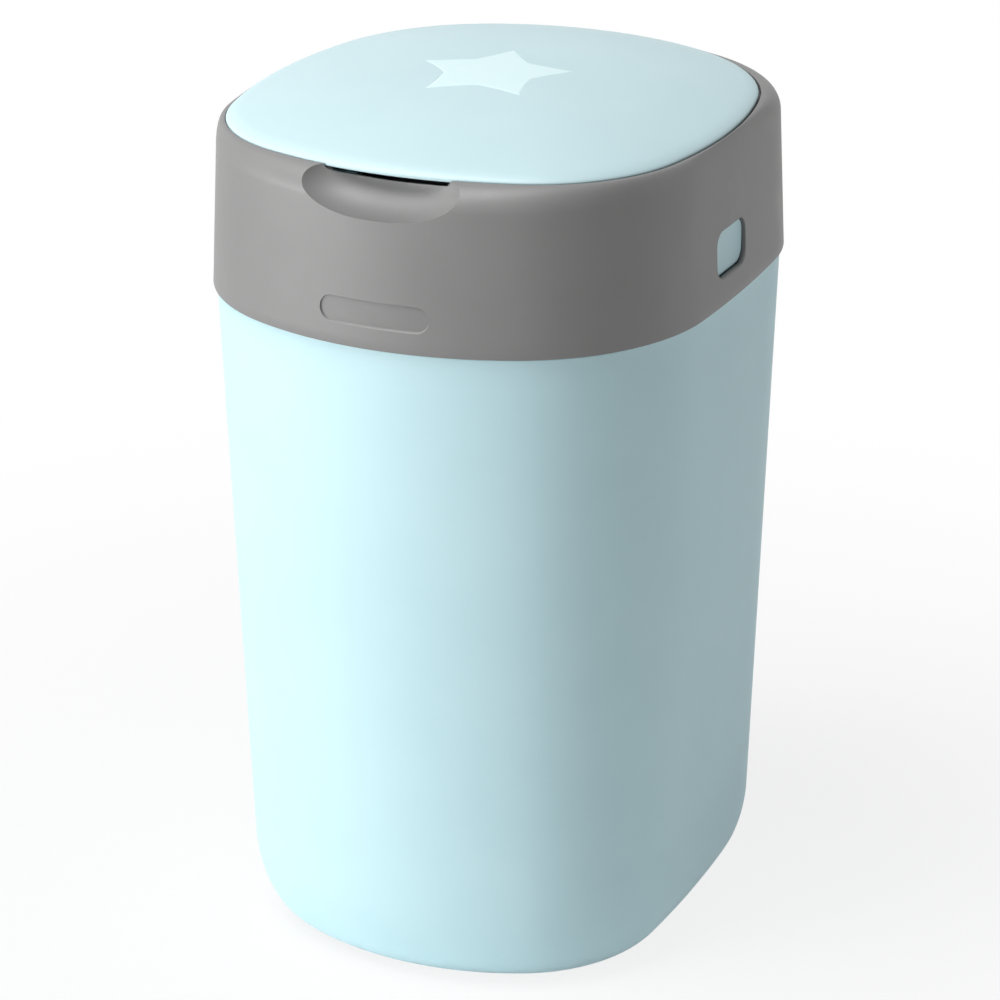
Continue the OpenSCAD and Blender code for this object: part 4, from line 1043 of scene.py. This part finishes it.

# %% [markdown]
# ## Springs
# A coil spring pushes each button out, and a small one holds the pawl down. Bending a
# cylinder into a coil would thin the wire, so a circle is swept along a spiral curve, which
# keeps it round. A button's spring shortens as the button goes in.

# %% Spring tree and springs
spring = Growth("spring", Radius="Float", Length="Float", Turns="Float", Wire="Float",
                Along="Vector", Middle="Vector", Material="Material")
path = spring.add("GeometryNodeCurveSpiral", {
    "Resolution": 40, "Rotations": spring["Turns"], "Start Radius": spring["Radius"],
    "End Radius": spring["Radius"], "Height": spring["Length"]})
wire = spring.add("GeometryNodeCurvePrimitiveCircle", {
    "Resolution": 12, "Radius": spring["Wire"]})
coil = spring.add("GeometryNodeCurveToMesh", {
    "Curve": path, "Profile Curve": wire, "Fill Caps": True})
spring.finish(spring.place(coil, Translation=spring["Middle"], Rotation=spring["Along"]))
WIRE_R, BUTTON_TRAVEL = 0.4, 2.6
for name, turns, axis, way in (("button_spring_right", 2.5, 0, 1),
                               ("button_spring_left", 2.5, 0, -1),
                               ("pawl_spring", 3.0, 2, 1)):
    low, high = box_mm(name)
    start, size = (low + high) / 2, high - low
    start[axis] = (low if way > 0 else high)[axis] + way * WIRE_R
    radius, length = size[(axis + 1) % 3] / 2 - WIRE_R, size[axis]
    piece = spring.grow(
        name + "_coil", bpy.data.meshes.new(name), Radius=radius * MM, Turns=turns,
        Wire=WIRE_R * MM, Length=(length - 2 * WIRE_R) * MM, Along=TURNS[axis, way],
        Middle=tuple(start * MM), Material=spring_wire)
    piece.data.shade_smooth()
    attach(piece, body_of(name))
    if axis == 0:
        name.replace("spring_", "") + "_press"
        tuple(start * MM)
        (length - BUTTON_TRAVEL) / length
        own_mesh(piece)
    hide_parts(name)
    print(name, "turns", turns, "length", round(length, 2))

# %% [markdown]
# ## The film
# The cassette holds metres of thin tube, pushed down into tight pleats. Its inner edge comes
# up over the core, falls through the throat, and ends in a twisted knot. Cloth simulation
# would crumple it at random, but this film is gathered evenly, so its folds are drawn by
# formula and a seeded generator makes them uneven.

# %% Pleated pack
chance = np.random.default_rng(11)
AROUND = circle(288)


def wavy(lows, highs, size):
    """A smooth uneven wave round the ring."""
    wave = sum(chance.normal(0, 1) * np.sin(k * AROUND + chance.uniform(0, 6.3))
               for k in range(lows, highs))
    return size * wave / np.abs(wave).max()


def round_ring(r, z):
    """A ring of points whose radius and height may change on the way."""
    return np.column_stack([r * np.cos(AROUND), r * np.sin(AROUND), np.broadcast_to(z, r.shape)])


pack_low, pack_high = box_mm("film_pack")
PACK_GAP, PACK_IN, PLEATS, SWAY = 0.2, 63.7, 22, 0.22
PLEAT = ((0.08, 5.0), (0.3, 1.0), (0.5, 0.0), (0.7, 1.0), (0.92, 5.0))
pack_out = pack_high[0] - PACK_GAP
rise = (pack_high[2] - pack_low[2] - 2 * PACK_GAP) / PLEATS
outer_side, inner_side = [], []
for i in range(PLEATS):
    z = pack_low[2] + PACK_GAP + rise * i
    sway = wavy(3, 14, 0 if i in (0, PLEATS - 1) else rise * SWAY)
    tip = chance.uniform(0.2, 1.6) + 0.6 + wavy(2, 9, 0.6)
    for part, deep in PLEAT:
        height = z + rise * part + sway * (part - PLEAT[0][0])
        outer_side.append(round_ring(pack_out - tip - deep, height))
        inner_side.append(round_ring(PACK_IN + tip * 0.6 + deep * 0.5, height))
pleats = skin(outer_side + inner_side[::-1], closed=True)
pack = mesh_object("film_pleats", *pleats, film, sharp=60)
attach(pack, "ring")
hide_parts("film_pack")
print("pleated pack", len(pack.data.polygons), "faces")

# %% Gathered sleeve and its knot
sleeve_low, sleeve_high = box_mm("film_sleeve")
LIP_Z, KNOT_Z, KNOT_R, FILM_T, FOLDS = sleeve_high[2] - 2.4, sleeve_low[2] + 8, 8.0, 0.5, 34
FOOT_Z, IN_R, GATHER_R = 351.0, 59.1, 57.0
profile = [(64, LIP_Z - 6.8)]
profile += [(r, LIP_Z + up) for r, up in (
    (64, -3), (63.9, 0), (63.4, 1.1), (62.4, 1.8), (61, 1.9), (60, 1.6), (59.3, 0.6), (59, -1))]
profile += [(IN_R, z) for z in np.linspace(LIP_Z - 6, FOOT_Z, 12)]
profile += [(r, FOOT_Z - down) for r, down in (
    (GATHER_R, 2.6), (53.8, 5.4), (49.4, 8), (43.6, 10.2), (36.8, 12.4), (30, 14.4),
    (23.4, 16.2), (17.4, 17.8), (12.2, 19.4), (8.4, 21.2), (6.4, 22.8))]


def ramp(value, length):
    """0 at zero and below, 1 from a length on."""
    return max(0.0, min(1, value / length))


uneven = wavy(2, 11, 0.9) + wavy(11, 29, 0.7)
outside, inside = [], []
for r, z in profile:
    fall = ramp(LIP_Z - z, LIP_Z - FOOT_Z) if r < IN_R + 0.5 else 0.0
    depth = min(0.25 + 1.5 * fall ** 0.7 + 2.2 * ramp(GATHER_R - r, 20), 0.32 * r)
    twist = 0.9 * max(0.0, (FOOT_Z - z) / 23) ** 2
    fold = (0.5 + 0.5 * np.cos(FOLDS * (AROUND + twist) + 2.2 * uneven)) ** 1.4
    droop = 0.6 * uneven * ramp(FOOT_Z + 4 - z, 12)
    thick = FILM_T if r < GATHER_R else 0
    outside.append(round_ring(r + FILM_T / 2 - depth * fold, z + droop))
    inside.append(round_ring(r - FILM_T / 2 - depth * fold, z + droop + thick))
points, faces = skin(outside + inside[::-1], closed=True)
knot = []
for turn in np.linspace(0, 1, 26):
    z = KNOT_Z + KNOT_R * math.cos(math.pi * turn)
    belly = KNOT_R * math.sin(math.pi * turn) ** 0.6
    wrap = 0.14 * np.cos(3 * AROUND + 9 * turn) + 0.05 * np.cos(FOLDS / 2 * AROUND + 14 * turn)
    knot.append(round_ring(belly * (0.81 + wrap), z))
more, knot_faces = skin(knot)
faces = faces + [tuple(i + len(points) for i in f) for f in knot_faces]
sleeve = mesh_object("film_sleeve_gathered", [*points, *more], faces, film, sharp=60)
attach(sleeve, "ring")
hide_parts("film_sleeve")
print("gathered sleeve", len(sleeve.data.polygons), "faces")

# %% [markdown]
# ## Light, floor and backdrop
# The bin stands in a plain white studio. The main softbox is in front of it on our left, a
# second one is above, and a weak one lifts the far side. The floor and the world are white
# to the eye only, so no extra light falls on the bin to get that white.

# %% Studio
WORLD_LIGHT, FLOOR_GREY, FLOOR_SPAN, FLOOR_TILES = 0.09, 0.86, 9000, 6
SHADOW_FROM, SHADOW_TO, SHADOW_SHARE = 0.2, 0.8, 0.16


def softbox(name, place, aim, size, watts):
    light = placed(name, bpy.data.lights.new(name, "AREA"))
    light.data.shape, light.data.size, light.data.size_y = "RECTANGLE", *size
    light.data.energy = watts
    light.location = place
    light.rotation_mode = "QUATERNION"
    light.rotation_quaternion = (Vector(aim) - Vector(place)).to_track_quat("-Z", "Y")
    print(name, watts, "W")


softbox("key_light", (-2.0, -2.2, 0.55), (0, 0, 0.22), (1.6, 1.05), 57)
softbox("top_light", (-0.5, -0.7, 2.3), (0, 0, 0.35), (1.3, 1.3), 41)
softbox("side_light", (2.3, 1.1, 0.8), (0, 0, 0.2), (0.9, 1.6), 7.5)


def seen_directly(tree):
    """1 where the eye, a mirror or glass looks straight at it, 0 where it only lights things."""
    paths = tree.nodes.new("ShaderNodeLightPath")
    total = paths.outputs["Is Camera Ray"]
    for ray in ("Is Glossy Ray", "Is Transmission Ray"):
        either = tree.nodes.new("ShaderNodeMath")
        either.operation = "MAXIMUM"
        tree.links.new(total, either.inputs[0])
        tree.links.new(paths.outputs[ray], either.inputs[1])
        total = either.outputs[0]
    return total


world = bpy.data.worlds.new("studio")
bpy.context.scene.world = world
world.use_nodes = True
air = world.node_tree
strength = air.nodes.new("ShaderNodeMapRange")
strength.inputs["To Min"].default_value = WORLD_LIGHT
air.links.new(seen_directly(air), strength.inputs["Value"])
air.nodes["Background"].inputs["Color"].default_value = (1, 1, 1, 1)
air.links.new(strength.outputs[0], air.nodes["Background"].inputs["Strength"])

spread = np.linspace(-FLOOR_SPAN, FLOOR_SPAN, FLOOR_TILES + 1)
row = FLOOR_TILES + 1
floor_points = [(x, y, 0) for x in spread for y in spread]
floor_faces = [(i, i + row, i + row + 1, i + 1)
               for j in range(FLOOR_TILES) for i in range(j * row, j * row + FLOOR_TILES)]
floor_paint = Paint("floor")
floor_paint.finish(base_color=(FLOOR_GREY,) * 3, roughness=0.9, specular_ior_level=0.1)
grey = Value(floor_paint, floor_paint.shader.outputs[0])
white = floor_paint.add("ShaderNodeEmission", {})
reach = floor_paint.add("ShaderNodeVectorMath", {0: floor_paint.place}, out=1, operation="LENGTH")
whitened = reach.step(SHADOW_FROM, SHADOW_TO) * SHADOW_SHARE + (1 - SHADOW_SHARE)
share = whitened * Value(floor_paint, seen_directly(floor_paint.tree))
floor_paint.join(floor_paint.add("ShaderNodeMixShader", {0: share, 1: grey, 2: white}),
                 floor_paint.output.inputs[0])
floor = mesh_object("floor", floor_points, floor_faces, floor_paint.material)
floor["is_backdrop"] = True
bpy.context.scene.view_settings.view_transform = "Standard"

# %% Measure and finish
low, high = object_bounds()
print("dressed bin", [round(v / MM, 1) for v in (high - low)], "mm")
